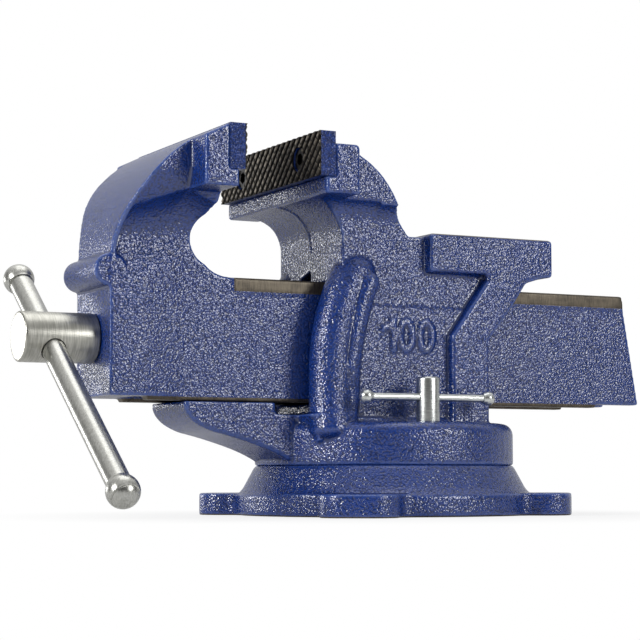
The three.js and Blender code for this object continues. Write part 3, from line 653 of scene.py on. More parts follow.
def figures(name):
    curve = bpy.data.curves.new(name, "CURVE")
    curve.dimensions, curve.fill_mode = "2D", "BOTH"
    curve.extrude, curve.bevel_depth, curve.bevel_resolution = 0.7 * MM, FIGURE_DRAFT, 1
    mid, tall = FIGURE_LOW + FIGURE_TALL / 2, FIGURE_TALL / 2 - FIGURE_DRAFT
    for centre in NOUGHTS:
        for inset in (0, STROKE):
            drawn(curve.splines, oval((centre, mid), NOUGHT_HALF - inset, tall - inset))
    left, flag, top, low = ONE_RIGHT - STROKE, ONE_RIGHT - ONE_WIDE, mid + tall, mid - tall
    drawn(curve.splines, [(left, low), (ONE_RIGHT, low), (ONE_RIGHT, top), (left, top),
                          (left - 1.4 * MM, top - 2 * MM), (flag, top - 3.6 * MM),
                          (flag, top - 5.4 * MM), (left, top - 3.9 * MM)])
    flat = bpy.data.objects.new(name, curve)
    bpy.context.scene.collection.objects.link(flat)
    mesh = worked_out(flat)
    bpy.data.objects.remove(flat)
    mesh.transform(Matrix.Translation((0, PANEL_Y, 0)) @ Matrix.Rotation(math.pi / 2, 4, "X"))
    return link(name, mesh, base_paint)


print("figures", round(FIGURE_TALL / MM, 1), "mm tall")

# %% [markdown]
# ## Patterns from boards and turnings
# A pattern maker builds a casting's shape from sawn boards, turned discs and bent beads, glued and
# pinned together, with cores for what stays open. The same few kinds are enough here. Numbers are in
# millimetres, as on a drawing, and every board is a closed solid, so boards may simply overlap.

# %% Boards, bends and cores
BOARD_AXES = {"X": ((0, 1, 0), (0, 0, 1), (1, 0, 0)), "Y": ((1, 0, 0), (0, 0, 1), (0, 1, 0)),
              "Z": ((1, 0, 0), (0, 1, 0), (0, 0, 1))}
SIDES = (-1, 1)


def lofted(name, outlines):
    """A closed solid through outlines that have the same number of points, in mm."""
    shape = bmesh.new()
    rings = [[shape.verts.new(Vector(point) * MM) for point in points] for points in outlines]
    for end in (rings[0], rings[-1]):
        shape.faces.new(end)
    for one, two in zip(rings, rings[1:]):
        for k in range(len(one)):
            n = (k + 1) % len(one)
            shape.faces.new((one[k], one[n], two[n], two[k]))
    bmesh.ops.triangulate(shape, faces=[f for f in shape.faces if len(f.verts) > 4 or len(rings) > 2])
    bmesh.ops.recalc_face_normals(shape, faces=shape.faces)
    return solid(name, shape, base_paint)


def board(outline, axis, low, high, other=None):
    """A closed outline on the two other axes, carried from low to high, where it may be another one."""
    first, second, along = (Vector(v) for v in BOARD_AXES[axis])
    ends = ((low, outline), (high, other or outline))
    return lofted("board", [[first * a + second * b + along * c for a, b in points] for c, points in ends])


def brick(x0, x1, y0, y1, z0, z1):
    return board([(x0, y0), (x1, y0), (x1, y1), (x0, y1)], "Z", z0, z1)


def both_sides(half):
    """An outline drawn for one side, and its mirror image back to the start."""
    return half + [(-y, z) for y, z in reversed(half)]


def bow(start, pull, end, steps=8):
    """Points of a curve that leaves start towards pull and arrives at end from it, without the start."""
    shares = [k / steps for k in range(1, steps + 1)]
    return [tuple((1 - t) ** 2 * a + 2 * t * (1 - t) * b + t * t * c for a, b, c in zip(start, pull, end))
            for t in shares]


def disc(profile, sides=96):
    """Turned about the upright axis; the profile is (height, radius) in mm."""
    return turned("disc", [(h * MM, r * MM) for h, r in profile], (0, 0, 0), (0, 0, 1), base_paint, sides)


def dowel(start, direction, long, radius, sides=48):
    return round_bar("dowel", radius * MM, long * MM, Vector(start) * MM, direction, base_paint, sides)


def button(centre, radius, squash=1.0):
    """A ball, or a flatter one, about its centre."""
    turns = np.linspace(math.pi, 0, 15)
    points = [(radius * squash * math.cos(a) * MM, abs(radius * math.sin(a)) * MM) for a in turns]
    return turned("button", points, Vector(centre) * MM, (0, 0, 1), base_paint, 32)


def bead(points, radius):
    """A round bead bent smoothly through the points."""
    curve = bpy.data.curves.new("bead", "CURVE")
    curve.dimensions, curve.bevel_depth, curve.bevel_resolution = "3D", radius * MM, 7
    curve.use_fill_caps, curve.resolution_u = True, 6
    line = curve.splines.new("BEZIER")
    line.bezier_points.add(len(points) - 1)
    for knot, place in zip(line.bezier_points, points):
        knot.co = Vector(place) * MM
        knot.handle_left_type = knot.handle_right_type = "AUTO"
    made = bpy.data.objects.new("bead", curve)
    bpy.context.scene.collection.objects.link(made)
    mesh = worked_out(made)
    bpy.data.objects.remove(made)
    return link("bead", mesh, base_paint)


def glued(*shells):
    """All shells as one mesh; where they overlap, the castings' skin makes them one."""
    whole = bmesh.new()
    for shell in shells:
        whole.from_mesh(shell.data)
        bpy.data.objects.remove(shell)
    mesh = bpy.data.meshes.new("pattern")
    whole.to_mesh(mesh)
    whole.free()
    return mesh


print("a board, a brick, a disc, a dowel, a button and a bead")

# %% [markdown]
# ## The base's pattern
# The CAD base gives the low cone, its round flange and the slot for the clamp nuts. Its lugs are sawn
# off, and four rounder ones are set in their place. Each lug is a board with a broad round tip and a
# hollow fillet where it leaves the flange.

# %% Base pattern
FLANGE_TALL, FLANGE_R, PAST_LUGS = 9.8, 66.0, 100.0
LUG_REACH, LUG_HALF, LUG_TIP, LUG_ROOT = 83.4, 16.8, 11.5, 6.0
LUG_HOLE_AT, LUG_HOLE_R, LUG_TURN = 73.6, 5.5, 52.9


def lug(turn):
    """One lug, drawn along +X and turned about the middle."""
    side = LUG_HALF + LUG_ROOT
    root = math.sqrt((FLANGE_R + LUG_ROOT) ** 2 - side ** 2)
    meet = 180 - math.degrees(math.atan2(side, root))
    half = [(0, side), *arc((root, side), LUG_ROOT, -meet, -90, 6)]
    half += arc((LUG_REACH - LUG_TIP, LUG_HALF - LUG_TIP), LUG_TIP, 90, 0, 10)
    plan = [(x, -y) for x, y in half] + half[::-1]
    hole = dowel((LUG_HOLE_AT, 0, -2), (0, 0, 1), FLANGE_TALL + 4.2, LUG_HOLE_R, 32)
    made = carve(board(plan, "Z", 0, FLANGE_TALL), hole)
    made.data.transform(Matrix.Rotation(math.radians(turn), 4, "Z"))
    return made


def base_pattern():
    low, top = -2, FLANGE_TALL + 0.3
    sawn = disc([(low, FLANGE_R), (low, PAST_LUGS), (top, PAST_LUGS), (top, FLANGE_R), (low, FLANGE_R)])
    tidy(sawn)
    round_base = carve(copy_of("base", "old_base", base_paint), sawn)
    return glued(round_base, *[lug(LUG_TURN + 90 * k) for k in range(4)])


print("lugs reach", LUG_REACH, "mm from the middle")

# %% [markdown]
# ## The body's pattern
# The CAD body gives the swivel plate, the anvil, the head and the tunnel. Its front is sawn off and
# made anew with rounder forms: a throat with a wide sweep, a neck that flares under the head, and two
# beads on each side that lean back as they rise. The front bead hangs down over the plate's edge.

# %% Body pattern
THROAT_X, THROAT_R, THROAT_LOW = -36.8, 17.0, 104.6
HEAD_LOW, HEAD_TOP, HEAD_BACK = 135.6, 157.0, -49.1
THROAT_CENTRE = (THROAT_X - THROAT_R, HEAD_LOW - THROAT_R)
BODY_HALF, PANEL_HALF, FOOT_HALF, NECK_HALF = 30.5, 31.5, 33.5, 37.0
SAW_X, WALL_LOW, WALL_TOP, PANEL_TOP, FOOT_TOP = -19.0, 36.0, 115.4, 90.9, 42.3
WAY_LOW = 48.9
ARM_TOP = WAY_LOW - 0.3
TUNNEL_HALF, TUNNEL_TOP, MOUTH_HALF = 17.8, 101.9, 18.4
FRONT_BEAD = [(-42.6, 31.2, 37.4), (-42.0, 29.2, 45), (-41.5, 27.9, 53), (-41.4, 27.5, 62),
              (-40.2, 27.5, 76), (-36.4, 26.8, 90), (-32, 26, 100), (-28.9, 25.7, 104.4)]
REAR_BEAD = [(-37.4, 33.6, 40.6), (-34.9, 30.6, 47.4), (-34.4, 30.4, 54), (-34.7, 31.6, 61),
             (-33.4, 31.8, 72), (-31, 31.8, 83), (-27.9, 31.8, 94), (-25.2, 31.8, 100.6)]
FRONT_BEAD_R, REAR_BEAD_R, HANGING_END = 9.3, 5.0, 0.55


def collar(side):
    """The two beads on one side, with round ends."""
    front, rear = [[(x, side * y, z) for x, y, z in points] for points in (FRONT_BEAD, REAR_BEAD)]
    return (bead(front, FRONT_BEAD_R), button(front[0], FRONT_BEAD_R, HANGING_END),
            button(front[-1], FRONT_BEAD_R), bead(rear, REAR_BEAD_R),
            button(rear[0], REAR_BEAD_R), button(rear[-1], REAR_BEAD_R))


def fixed_neck():
    """The hook seen from the side, kept where the flare seen from the front has wood too."""
    top = HEAD_TOP - 1
    hook = [(THROAT_X, THROAT_LOW), *arc(THROAT_CENTRE, THROAT_R, 0, 90), (HEAD_BACK, HEAD_LOW + 8),
            (HEAD_BACK, top), (-33, top), *bow((-33, top), (-20, 150), (-13.4, 137)),
            *bow((-13.4, 137), (-9, 128), (-4, 122)), (14, 122), (14, THROAT_LOW)]
    flare_foot = (BODY_HALF, 125.4)
    half = [(BODY_HALF, 100), flare_foot, *bow(flare_foot, (BODY_HALF, 134), (NECK_HALF, HEAD_LOW)),
            (NECK_HALF, 161)]
    flare = board(both_sides(half), "X", -70, 30)
    return carve(board(hook, "Y", -38, 38), flare, how="INTERSECT")


def parting_ridge():
    """The thin fin that the mould's two halves leave along the throat."""
    inside = arc(THROAT_CENTRE, THROAT_R - 0.7, -6, 88)
    outside = arc(THROAT_CENTRE, THROAT_R + 1.0, 88, -6)
    return board(inside + outside, "Y", -0.6, 0.6)


def relief():
    """The notch over the tunnel's mouth."""
    notch = [(0, 101.6), (11, 101.6), (9.6, 105), (1, 107.8), (0, 107.8)]
    return board(notch, "X", THROAT_X - 4, -30)


def body_pattern():
    old = copy_of("body", "old_body", base_paint)
    front = brick(-62, SAW_X - 1.5, -60, 60, 43.5, HEAD_LOW - 0.1)
    arm = brick(-108, -39, -20, 20, ARM_TOP, 52)
    carve(old, front, arm, brick(-40, 72, -TUNNEL_HALF, TUNNEL_HALF, ARM_TOP, 52))
    carve(old, brick(-62.7, -50, -22, 22, ARM_TOP - 4.6, ARM_TOP + 1))
    upper = board([(-46, WALL_LOW), (SAW_X, WALL_LOW), (SAW_X, WALL_TOP), (SAW_X - 1, WALL_TOP),
                   (THROAT_X, THROAT_LOW)], "Y", -BODY_HALF, BODY_HALF)
    panel = board([(-40, WALL_LOW), (SAW_X, WALL_LOW), (SAW_X, PANEL_TOP), (-23, PANEL_TOP),
                   (-26.5, PANEL_TOP - 3.4)], "Y", -PANEL_HALF, PANEL_HALF)
    foot = board([(-50, 32), (SAW_X, 32), (SAW_X, FOOT_TOP), (-50, FOOT_TOP)], "Y", -FOOT_HALF, FOOT_HALF)
    for wall in (upper, panel):
        carve(wall, brick(-80, -10, -TUNNEL_HALF, TUNNEL_HALF, ARM_TOP, TUNNEL_TOP),
              brick(-80, THROAT_X, -MOUTH_HALF, MOUTH_HALF, ARM_TOP, 117.6))
    carve(upper, relief())
    neck = carve(fixed_neck(), relief())
    beads = collar(-1) + collar(1)
    return glued(old, upper, panel, foot, neck, parting_ridge(), *beads, figures("figures"))


print("throat radius", THROAT_R, "mm")

# %% [markdown]
# ## The movable jaw's pattern
# Seen from the side the neck is a hook, and seen from the front it is a vase. Sawing one board to the
# hook and another to the vase, and keeping what both have, gives the neck in two cuts. A cove is then
# scooped out of each side: its roof climbs to the head's back edge and drops again to the throat.

# %% Jaw pattern
FRONT_X, FRONT_HALF, FRONT_WALL = -139.0, 20.0, 15.0
SLIDE_LOW, SLIDE_HIGH, SLIDE_HALF = WAY_TOP / MM, SLIDE_TOP / MM, 17.5
WEB_HALF = SLIDE_HALF - 0.5
RAIL_LOW = SLIDE_HIGH - RAIL / MM
RAIL_FRONT, SLIDE_END, END_SLOPE, WAY_END = -82.0, 128.2, 0.1745, 103.7
CHANNEL_HALF, CHANNEL_TOP = 10.6, 92.0
SKIN_R, SKIN_Z, SKIN_HALF, LIP = 59.8, 105.0, 36.0, 2.2
SKIN_CENTRE = (FRONT_X + SKIN_R, SKIN_Z)
HOOK, HOOK_R, HOOK_FOOT = (-90.2, 117.5), 12.0, -84.0
LEDGE_X, NECK_BACK = -94.9, -100.8
COVE_Z, COVE_W, COVE_H, COVE_PEAK = 116.0, 18.5, 20.0, -109.7
COVE_FALL_FRONT, COVE_FALL_REAR = -0.0146, 0.0153
JAW_HALF, STEP_LOW, STEP_X = 50.0, 142.8, -98.8
NOSE_R, NOSE_Z, NOSE_HALF = 6.8, 102.2, 19.6
SCREW_Z, SCREW_BORE = 74.7, 8.3


def slide_bar():
    """Two walls, a roof and its two rails, all sawn to the same sloping end, and the ways below."""
    def length(y0, y1, z0, z1, start=FRONT_X + 2):
        ends = [SLIDE_END - (z - SLIDE_LOW) * END_SLOPE for z in (z0, z1)]
        return board([(start, z0), (ends[0], z0), (ends[1], z1), (start, z1)], "Y", y0, y1)

    def both(half, z0, z1, start=FRONT_X + 2):
        return length(-half, half, z0, z1, start)

    walls = [length(side * CHANNEL_HALF, side * WEB_HALF, SLIDE_LOW, SLIDE_HIGH) for side in SIDES]
    ways = [brick(FRONT_X + FRONT_WALL + 3, WAY_END, side * (CHANNEL_HALF + 0.4), side * WEB_HALF,
                  WAY_LOW, SLIDE_LOW + 1) for side in SIDES]
    rails = both(SLIDE_HALF, RAIL_LOW, SLIDE_HIGH, RAIL_FRONT)
    bevel = both(WEB_HALF + 0.25, RAIL_LOW - 1, RAIL_LOW + 1, RAIL_FRONT)
    return [*walls, both(WEB_HALF, CHANNEL_TOP, SLIDE_HIGH), rails, bevel, *ways]


def cove(side):
    """What is scooped from one side, in front of the head and under its flare."""
    arch = arc((0, 0), 1, 90, 180, 8)
    sections = []
    for x in np.linspace(FRONT_X - 2, -80, 17):
        past = x - COVE_PEAK
        tall = COVE_H * (1 - (COVE_FALL_FRONT if past < 0 else COVE_FALL_REAR) * past)
        section = [(WEB_HALF, SLIDE_LOW - 2), (42, SLIDE_LOW - 2), (42, COVE_Z + tall)]
        section += [(WEB_HALF + COVE_W * (1 + a), COVE_Z + tall * b) for a, b in arch]
        sections.append([(x, side * y, z) for y, z in section])
    wall = FRONT_X + FRONT_WALL
    kept = [(FRONT_X - 4, 46), (wall, 46), (wall, 93), (FRONT_X + LIP + 2, 99),
            *arc(SKIN_CENTRE, SKIN_R - LIP, 180, 124.2), (FRONT_X - 4, 160)]
    return carve(lofted("cove", sections), board(kept, "Y", -60, 60))


def moving_neck():
    """The hook seen from the side, kept where the vase seen from the front has wood too."""
    foot = (HOOK_FOOT, SLIDE_HIGH)
    hook = [(FRONT_X, SLIDE_LOW), (HOOK_FOOT, SLIDE_LOW), foot]
    hook += bow(foot, (-91.4, SLIDE_HIGH + 0.5), arc(HOOK, HOOK_R, 244.8, 244.8, 1)[0], 5)
    hook += arc(HOOK, HOOK_R, 241, 124.2)
    hook += [(LEDGE_X, 132.5), (LEDGE_X, HEAD_LOW + 4), (NECK_BACK, HEAD_LOW + 8), (NECK_BACK, 156.3)]
    hook += arc(SKIN_CENTRE, SKIN_R, 121.9, 180)
    waist = (FRONT_HALF, 111)
    half = [(FRONT_HALF, SLIDE_LOW), waist, *bow(waist, (22.4, 121), (28.4, 129)),
            *bow((28.4, 129), (34.5, 137), (SKIN_HALF, 144)), (SKIN_HALF, 170)]
    vase = board(both_sides(half), "X", -150, -80)
    return carve(carve(board(hook, "Y", -37, 37), vase, how="INTERSECT"), cove(-1), cove(1))


def moving_head():
    """The head with its step for the plate and the two holes of the plate's screws."""
    side = [(COVE_PEAK, HEAD_LOW), (-94.6, HEAD_LOW), (-94.6, STEP_LOW), (STEP_X, STEP_LOW),
            (STEP_X, 161.6), (COVE_PEAK, 156.3)]
    holes = [dowel((-108, way * 29, 152.4), (1, 0, 0), 12, 3.3, 24) for way in SIDES]
    head = board(side, "Y", -JAW_HALF, JAW_HALF)
    for hole in holes:
        carve(head, hole)
    return head


def front_wall():
    """The wall that holds the spindle, wider than the slide, and its run-out up the neck."""
    half = [(FRONT_X, FRONT_HALF), (-124, FRONT_HALF), (-104, WEB_HALF)]
    plan = [(x, -y) for x, y in half] + half[::-1]
    low = [(max(x, FRONT_X + 1), y) for x, y in plan]
    high = [(max(x, FRONT_X + 5), math.copysign(WEB_HALF - 0.2, y)) for x, y in low]
    return board(plan, "Z", SLIDE_LOW, RAIL_LOW + 0.5), board(low, "Z", RAIL_LOW, RAIL_LOW + 22, high)


def jaw_pattern():
    wall, run_out = front_wall()
    neck = moving_neck()
    for shell in (neck, wall):
        channel = brick(FRONT_X + FRONT_WALL, -70, -CHANNEL_HALF, CHANNEL_HALF, 46, CHANNEL_TOP - 3)
        carve(shell, channel, dowel((FRONT_X - 6, 0, SCREW_Z), (1, 0, 0), 90, SCREW_BORE))
    nose = dowel((FRONT_X + 0.2, -NOSE_HALF, NOSE_Z), (0, 1, 0), 2 * NOSE_HALF, NOSE_R, 40)
    return glued(neck, wall, run_out, *slide_bar(), nose, moving_head())


print("neck skin radius", SKIN_R, "mm")

# %% [markdown]
# ## The three castings
# A casting has no sharp edge anywhere: the pattern maker rounds them so the sand holds, and paint
# rounds them again. A voxel remesh turns all the boards of a pattern into one even skin, and a few
# passes of smoothing then roll every edge over, inside corners too. Decimation thins the flat places,
# where nothing is gained by small faces. Last, each point learns its fold: above a half in hollows,
# below on edges, from how its neighbours lie above or below it.

# %% Castings
def write_fold(mesh, reach=2.2 * MM, passes=4):
    """Writes how far each point's neighbours lie above or below it, smoothed over the skin."""
    points = np.empty(len(mesh.vertices) * 3)
    normals = np.empty(len(mesh.vertices) * 3)
    ends = np.empty(len(mesh.edges) * 2, dtype=np.int64)
    mesh.vertices.foreach_get("co", points)
    mesh.vertices.foreach_get("normal", normals)
    mesh.edges.foreach_get("vertices", ends)
    points, normals, ends = points.reshape(-1, 3), normals.reshape(-1, 3), ends.reshape(-1, 2)
    one, two = np.concatenate((ends[:, 0], ends[:, 1])), np.concatenate((ends[:, 1], ends[:, 0]))
    step = points[two] - points[one]
    bend = (step * normals[one]).sum(axis=1) / np.maximum((step ** 2).sum(axis=1), 1e-12)
    count = np.maximum(np.bincount(one, minlength=len(points)), 1)
    fold = np.bincount(one, bend, len(points)) / count
    for _ in range(passes):
        fold = 0.4 * fold + 0.6 * np.bincount(one, fold[two], len(points)) / count
    values = np.clip(0.5 + fold * reach, 0, 1).astype(np.float32)
    mesh.attributes.new("fold", "FLOAT", "POINT").data.foreach_set("value", values)
    return values


VOXEL, ROLLS, MOST_FACES = 0.62 * MM, 6, 180_000


def casting(body, name, pattern, material):
    made = link(name, pattern, material)
    skin = made.modifiers.new("skin", "REMESH")
    skin.mode, skin.voxel_size = "VOXEL", VOXEL
    roll = made.modifiers.new("roll", "SMOOTH")
    roll.factor, roll.iterations = 0.5, ROLLS
    applied(made)
    count = 2 * len(made.data.polygons)
    if count > MOST_FACES:
        thin = made.modifiers.new("thin", "DECIMATE")
        thin.ratio = MOST_FACES / count
        applied(made)
    made.data.shade_smooth()
    made.data.materials.clear()
    made.data.materials.append(material)
    fold = write_fold(made.data)
    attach(made, body)
    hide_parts(body)
    reach = fold.min().round(2), fold.max().round(2)
    print(name, len(made.data.polygons), "faces from", count, "fold", *reach)


casting("body", "body_casting", body_pattern(), body_paint)
casting("movable_jaw", "jaw_casting", jaw_pattern(), jaw_paint)
casting("base", "base_casting", base_pattern(), base_paint)

# %% [markdown]
# ## The jaw plates
# Two hardened plates with a diamond knurl milled across their faces: V grooves at 45 degrees one way,
# cut deep, and the other way, cut shallower, so the teeth are long and lean. A block with a fine
# front face is grown, and each of its front points is pushed back by the groove that it lies in. The
# pattern runs out over the edges, which makes the plate's outline toothed.

# %% Knurled plate tree
KNURL_PITCH = 3.6 * MM
KNURL_DEPTH = 0.85 * MM


def groove(slant, pitch, width):
    """1 at the bottom of a V groove and 0 on the flat crest, for a line that counts along its pitch."""
    phase = (slant / pitch).math("FRACT")
    valley = (phase - 0.5).math("ABSOLUTE") * 2
    return 1 - valley.between(0, width)


def plate_tree():
    sizes = {"Thick": 8 * MM, "Wide": 0.1, "Tall": 0.019,
             "Pitch": KNURL_PITCH, "Depth": KNURL_DEPTH, "Side": 1.0}
    tree, size = node_group("knurled_plate", sizes)
    extent = tree.node("ShaderNodeCombineXYZ", {}, {0: size["Thick"], 1: size["Wide"], 2: size["Tall"]})
    counts = {"Size": extent, "Vertices X": 3, "Vertices Y": 300, "Vertices Z": 64}
    block = tree.node("GeometryNodeMeshCube", {}, counts)
    spot = tree.node("GeometryNodeInputPosition")
    x, y, z = axes(tree, spot)
    front = (x * size["Side"]).math("GREATER_THAN", size["Thick"] * 0.49)
    root = math.sqrt(2)
    first = groove((y + z) / root, size["Pitch"], 0.72)
    second = groove((y - z) / root, size["Pitch"], 0.40) * 0.5
    pushed = first.math("MAXIMUM", second) * size["Depth"] * front * size["Side"] * -1
    offset = tree.node("ShaderNodeCombineXYZ", {}, {0: pushed})
    carved = tree.node("GeometryNodeSetPosition", {}, {"Geometry": block, "Offset": offset})
    return tree, carved


# %% The plates' finish
plate_dark, plate_crest = srgb(24, 22, 21), srgb(126, 118, 106)


def plate_finish(name, face, away):
    """Oiled dark steel in the grooves, worn bright crests, and paint on the ends and back."""
    tree, close = finish(name)
    where = here(tree)
    x, y, z = axes(tree, where)
    depth = (face - x) * away
    steel_here = depth.between(KNURL_DEPTH + 0.05 * MM, KNURL_DEPTH + 0.15 * MM, 1, 0)
    crest = depth.between(0.04 * MM, 0.40 * MM, 1, 0)
    wear = noise(tree, where, 1 / (2.2 * MM), 3.0)
    cells = hammer_height(tree, where)
    metal_colour = tree.blend(crest * wear.between(0.25, 0.7), plate_dark, plate_crest)
    # painted shade: the paint on the plates' ends and back is darkened in its seams
    paint_colour = tree.blend(cells.between(0.2, 0.75), PAINT_SEAM_SHADE, PAINT_FACE)
    return close(
        Base_Color=tree.blend(steel_here, paint_colour, metal_colour),
        Metallic=steel_here * 0.8,
        Roughness=0.28 + steel_here * 0.12,
        Normal=bump(tree, cells * (1 - steel_here) + wear * steel_here * 0.15, 0.3 * MM, 0.8),
    )


# %% The plates
PLATE_HOLE, PLATE_SEAT, SHANK_HOLE = 5.3 * MM, 4.6 * MM, 3.3 * MM
for name, away in (("fixed", -1), ("movable", 1)):
    low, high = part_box(name + "_insert")
    face = low.x if away < 0 else high.x
    coat = plate_finish(name + "_plate_finish", face, away)
    tree, carved = plate_tree()
    end_group(tree, carved, coat)
    size = high - low
    sizes = {"Thick": size.x, "Wide": size.y, "Tall": size.z, "Side": float(away)}
    plate = grown(name + "_plate", tree, sizes, coat)
    plate.data.transform(Matrix.Translation((low + high) / 2))
    tidy(plate, 25)
    for side in ("near", "far"):
        spot = middle(name + "_screw_" + side)
        first, last = sorted((face - away * PLATE_SEAT, face + away * 2 * MM))
        seat = round_bar("seat", PLATE_HOLE, last - first, (first, spot.y, spot.z), (1, 0, 0), coat, 40)
        start = (low.x - MM, spot.y, spot.z)
        cut(plate, seat, round_bar("shank", SHANK_HOLE, size.x + 2 * MM, start, (1, 0, 0), coat, 32))
    soften(plate.data, 25)
    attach(plate, "body" if away < 0 else "movable_jaw")
    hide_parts(name + "_insert")
    print(plate.name, len(plate.data.polygons), "faces")

# %% [markdown]
# ## The plates' screws
# Socket-head screws sit a little below each knurled face. The head is a turned button with a small
# chamfer and a hexagon socket with a conical bottom, which is what a drill leaves.

# %% Jaw screws
def socket_cutter(name, at, direction, flats, deep, material):
    """A six-sided plug with a pointed end, to be cut out of a screw's head."""
    across = flats / math.cos(math.pi / 6)
    profile = [(-0.5 * MM, 0), (-0.5 * MM, across), (deep, across), (deep + 0.7 * MM, 0)]
    return turned(name, profile, at, direction, material, 6)


for name, away in (("fixed", -1), ("movable", 1)):
    for side in ("near", "far"):
        low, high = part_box(name + "_screw_" + side)
        top = low.x if away < 0 else high.x
        long, wide = high.x - low.x, (high.y - low.y) / 2
        start, inwards = Vector((top, (low.y + high.y) / 2, (low.z + high.z) / 2)), (-away, 0, 0)
        profile = [(0, 0), (0, wide - 0.5 * MM), (0.5 * MM, wide), (3 * MM, wide), (3 * MM, 3 * MM),
                   (long - 0.8 * MM, 3 * MM), (long, 2.2 * MM), (long, 0)]
        screw = turned(name + "_plate_screw_" + side, profile, start, inwards, black, 48)
        cut(screw, socket_cutter("socket", start, inwards, 2.4 * MM, 1.8 * MM, black))
        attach(screw, "body" if away < 0 else "movable_jaw")
        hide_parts(name + "_screw_" + side)
print("four socket screws")

# %% [markdown]
# ## The spindle
# One turned bar: a thick head with a cross hole for the handle, and a long shaft. Behind the jaw's
# front wall the shaft carries the screw thread that pulls the jaw in. The head is a profile spun
# round, with the handle's hole cut through it and its edge broken.

# %% Spindle head and shaft
spindle_low, spindle_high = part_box("spindle")
collar_low, collar_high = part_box("spindle_collar")
bar_low, bar_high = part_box("handle_bar")
SPINDLE_AXIS = (spindle_low.z + spindle_high.z) / 2
HEAD_R = (spindle_high.z - spindle_low.z) / 2
SHAFT_R = 8.0 * MM
SHOULDER = collar_low.x - 15.35 * MM
THREAD_START = collar_high.x + 12 * MM
CROSS = Vector(((bar_low.x + bar_high.x) / 2, 0, SPINDLE_AXIS))
handle_way = Vector(next(j["axis"] for j in frame["joints"] if j["name"] == "handle_slide"))
HANDLE_R = (bar_high.x - bar_low.x) / 2

head_long = SHOULDER - spindle_low.x
plain_end = THREAD_START - spindle_low.x
profile = [(0, 0), (0, HEAD_R - 2.0 * MM), *arc((0.9 * MM, HEAD_R - 0.9 * MM), 0.9 * MM, 180, 90, 5),
           (head_long - 0.8 * MM, HEAD_R), (head_long, HEAD_R - 0.8 * MM), (head_long, SHAFT_R),
           (plain_end - 0.8 * MM, SHAFT_R), (plain_end, SHAFT_R - 0.8 * MM), (plain_end, 0)]
head = turned("spindle_head", profile, (spindle_low.x, 0, SPINDLE_AXIS), (1, 0, 0), steel, 96)
HOLE_R = HANDLE_R + 0.35 * MM
cut(head, round_bar("cross_hole", HOLE_R, 40 * MM, CROSS - handle_way * 20 * MM, handle_way, steel, 64))
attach(head, "spindle")
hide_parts("spindle")
print("spindle head", round(2 * HEAD_R / MM, 1), "mm across,", round(head_long / MM, 1), "mm long")

# %% [markdown]
# ## The screw thread
# A vise screw has a square-shouldered thread that takes a heavy push. A tube of points is grown, and
# each point's distance from the axis follows the thread's section at its own place: length divided by
# lead, less the share of a turn. The same rule makes any length of any lead.

# %% Thread tree
LEAD = 4.0 * MM
THREAD_DEEP = 1.7 * MM


def thread_tree(turns_long, around=40, per_turn=10):
    sizes = {"Long": 0.1, "Radius": SHAFT_R, "Lead": LEAD, "Deep": THREAD_DEEP}
    tree, size = node_group("screw_thread", sizes)
    rows = int(turns_long * per_turn) + 1
    grid = {"Size X": 1.0, "Size Y": 1.0, "Vertices X": rows, "Vertices Y": around + 1}
    sheet = tree.node("GeometryNodeMeshGrid", {}, grid)
    spot = tree.node("GeometryNodeInputPosition")
    u, v, _ = axes(tree, spot)
    along = (u + 0.5) * size["Long"]
    turn = v + 0.5
    phase = (along / size["Lead"] - turn).math("FRACT")
    tooth = (phase - 0.5).math("ABSOLUTE") * 2
    end = (u.math("ABSOLUTE") * 2).between(0.985, 1.0, 0, 1)
    radius = size["Radius"] - size["Deep"] * (1 - tooth.between(0.42, 0.62)) - end * size["Deep"] * tooth
    angle = turn * (2 * math.pi)
    spot = {0: along, 1: radius * angle.math("COSINE"), 2: radius * angle.math("SINE")}
    place = tree.node("ShaderNodeCombineXYZ", {}, spot)
    wound = tree.node("GeometryNodeSetPosition", {}, {"Geometry": sheet, "Position": place})
    return tree, tree.node("GeometryNodeMergeByDistance", {}, {"Geometry": wound, "Distance": 1e-6})


def closed(made):
    """The open ends of a tube filled with flat faces."""
    with opened(made.data) as shape:
        bmesh.ops.holes_fill(shape, edges=shape.edges, sides=0)
        bmesh.ops.recalc_face_normals(shape, faces=shape.faces)


thread_long = spindle_high.x - THREAD_START + 0.4 * MM
tree, wound = thread_tree(thread_long / LEAD)
end_group(tree, wound, steel)
screw = grown("spindle_thread", tree, {"Long": thread_long}, steel)
screw.data.transform(Matrix.Translation((THREAD_START - 0.4 * MM, 0, SPINDLE_AXIS)))
closed(screw)
soften(screw.data, 40)
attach(screw, "spindle")
print("thread", round(thread_long / MM, 1), "mm long,", len(screw.data.polygons), "faces")

# %% [markdown]
# ## Collar and pin
# Behind the front wall a collar keeps the spindle in the jaw, and a pin through both holds it. They
# are turned pieces with broken edges, and the collar is bored for the shaft and the pin.

# %% Collar and pin
collar_r = (collar_high.z - collar_low.z) / 2
collar_long = collar_high.x - collar_low.x
edge, bore_r = 0.7 * MM, SHAFT_R + 0.1 * MM
profile = [(0, bore_r), (0, collar_r - edge), (edge, collar_r), (collar_long - edge, collar_r),
           (collar_long, collar_r - edge), (collar_long, bore_r), (0, bore_r)]
collar = turned("thrust_collar", profile, (collar_low.x, 0, SPINDLE_AXIS), (1, 0, 0), steel, 72)
tidy(collar)
pin_low, pin_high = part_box("collar_pin")
pin_r, pin_long = (pin_high.x - pin_low.x) / 2, pin_high.y - pin_low.y
pin_x = (pin_low.x + pin_high.x) / 2
bore_start = (pin_x, pin_low.y - 2 * MM, SPINDLE_AXIS)
cut(collar, round_bar("pin_bore", pin_r + 0.1 * MM, pin_long + 4 * MM, bore_start, (0, 1, 0), steel, 32))
profile = [(0, 0), (0, pin_r - 0.4 * MM), (0.4 * MM, pin_r), (pin_long - 0.4 * MM, pin_r),
           (pin_long, pin_r - 0.4 * MM), (pin_long, 0)]
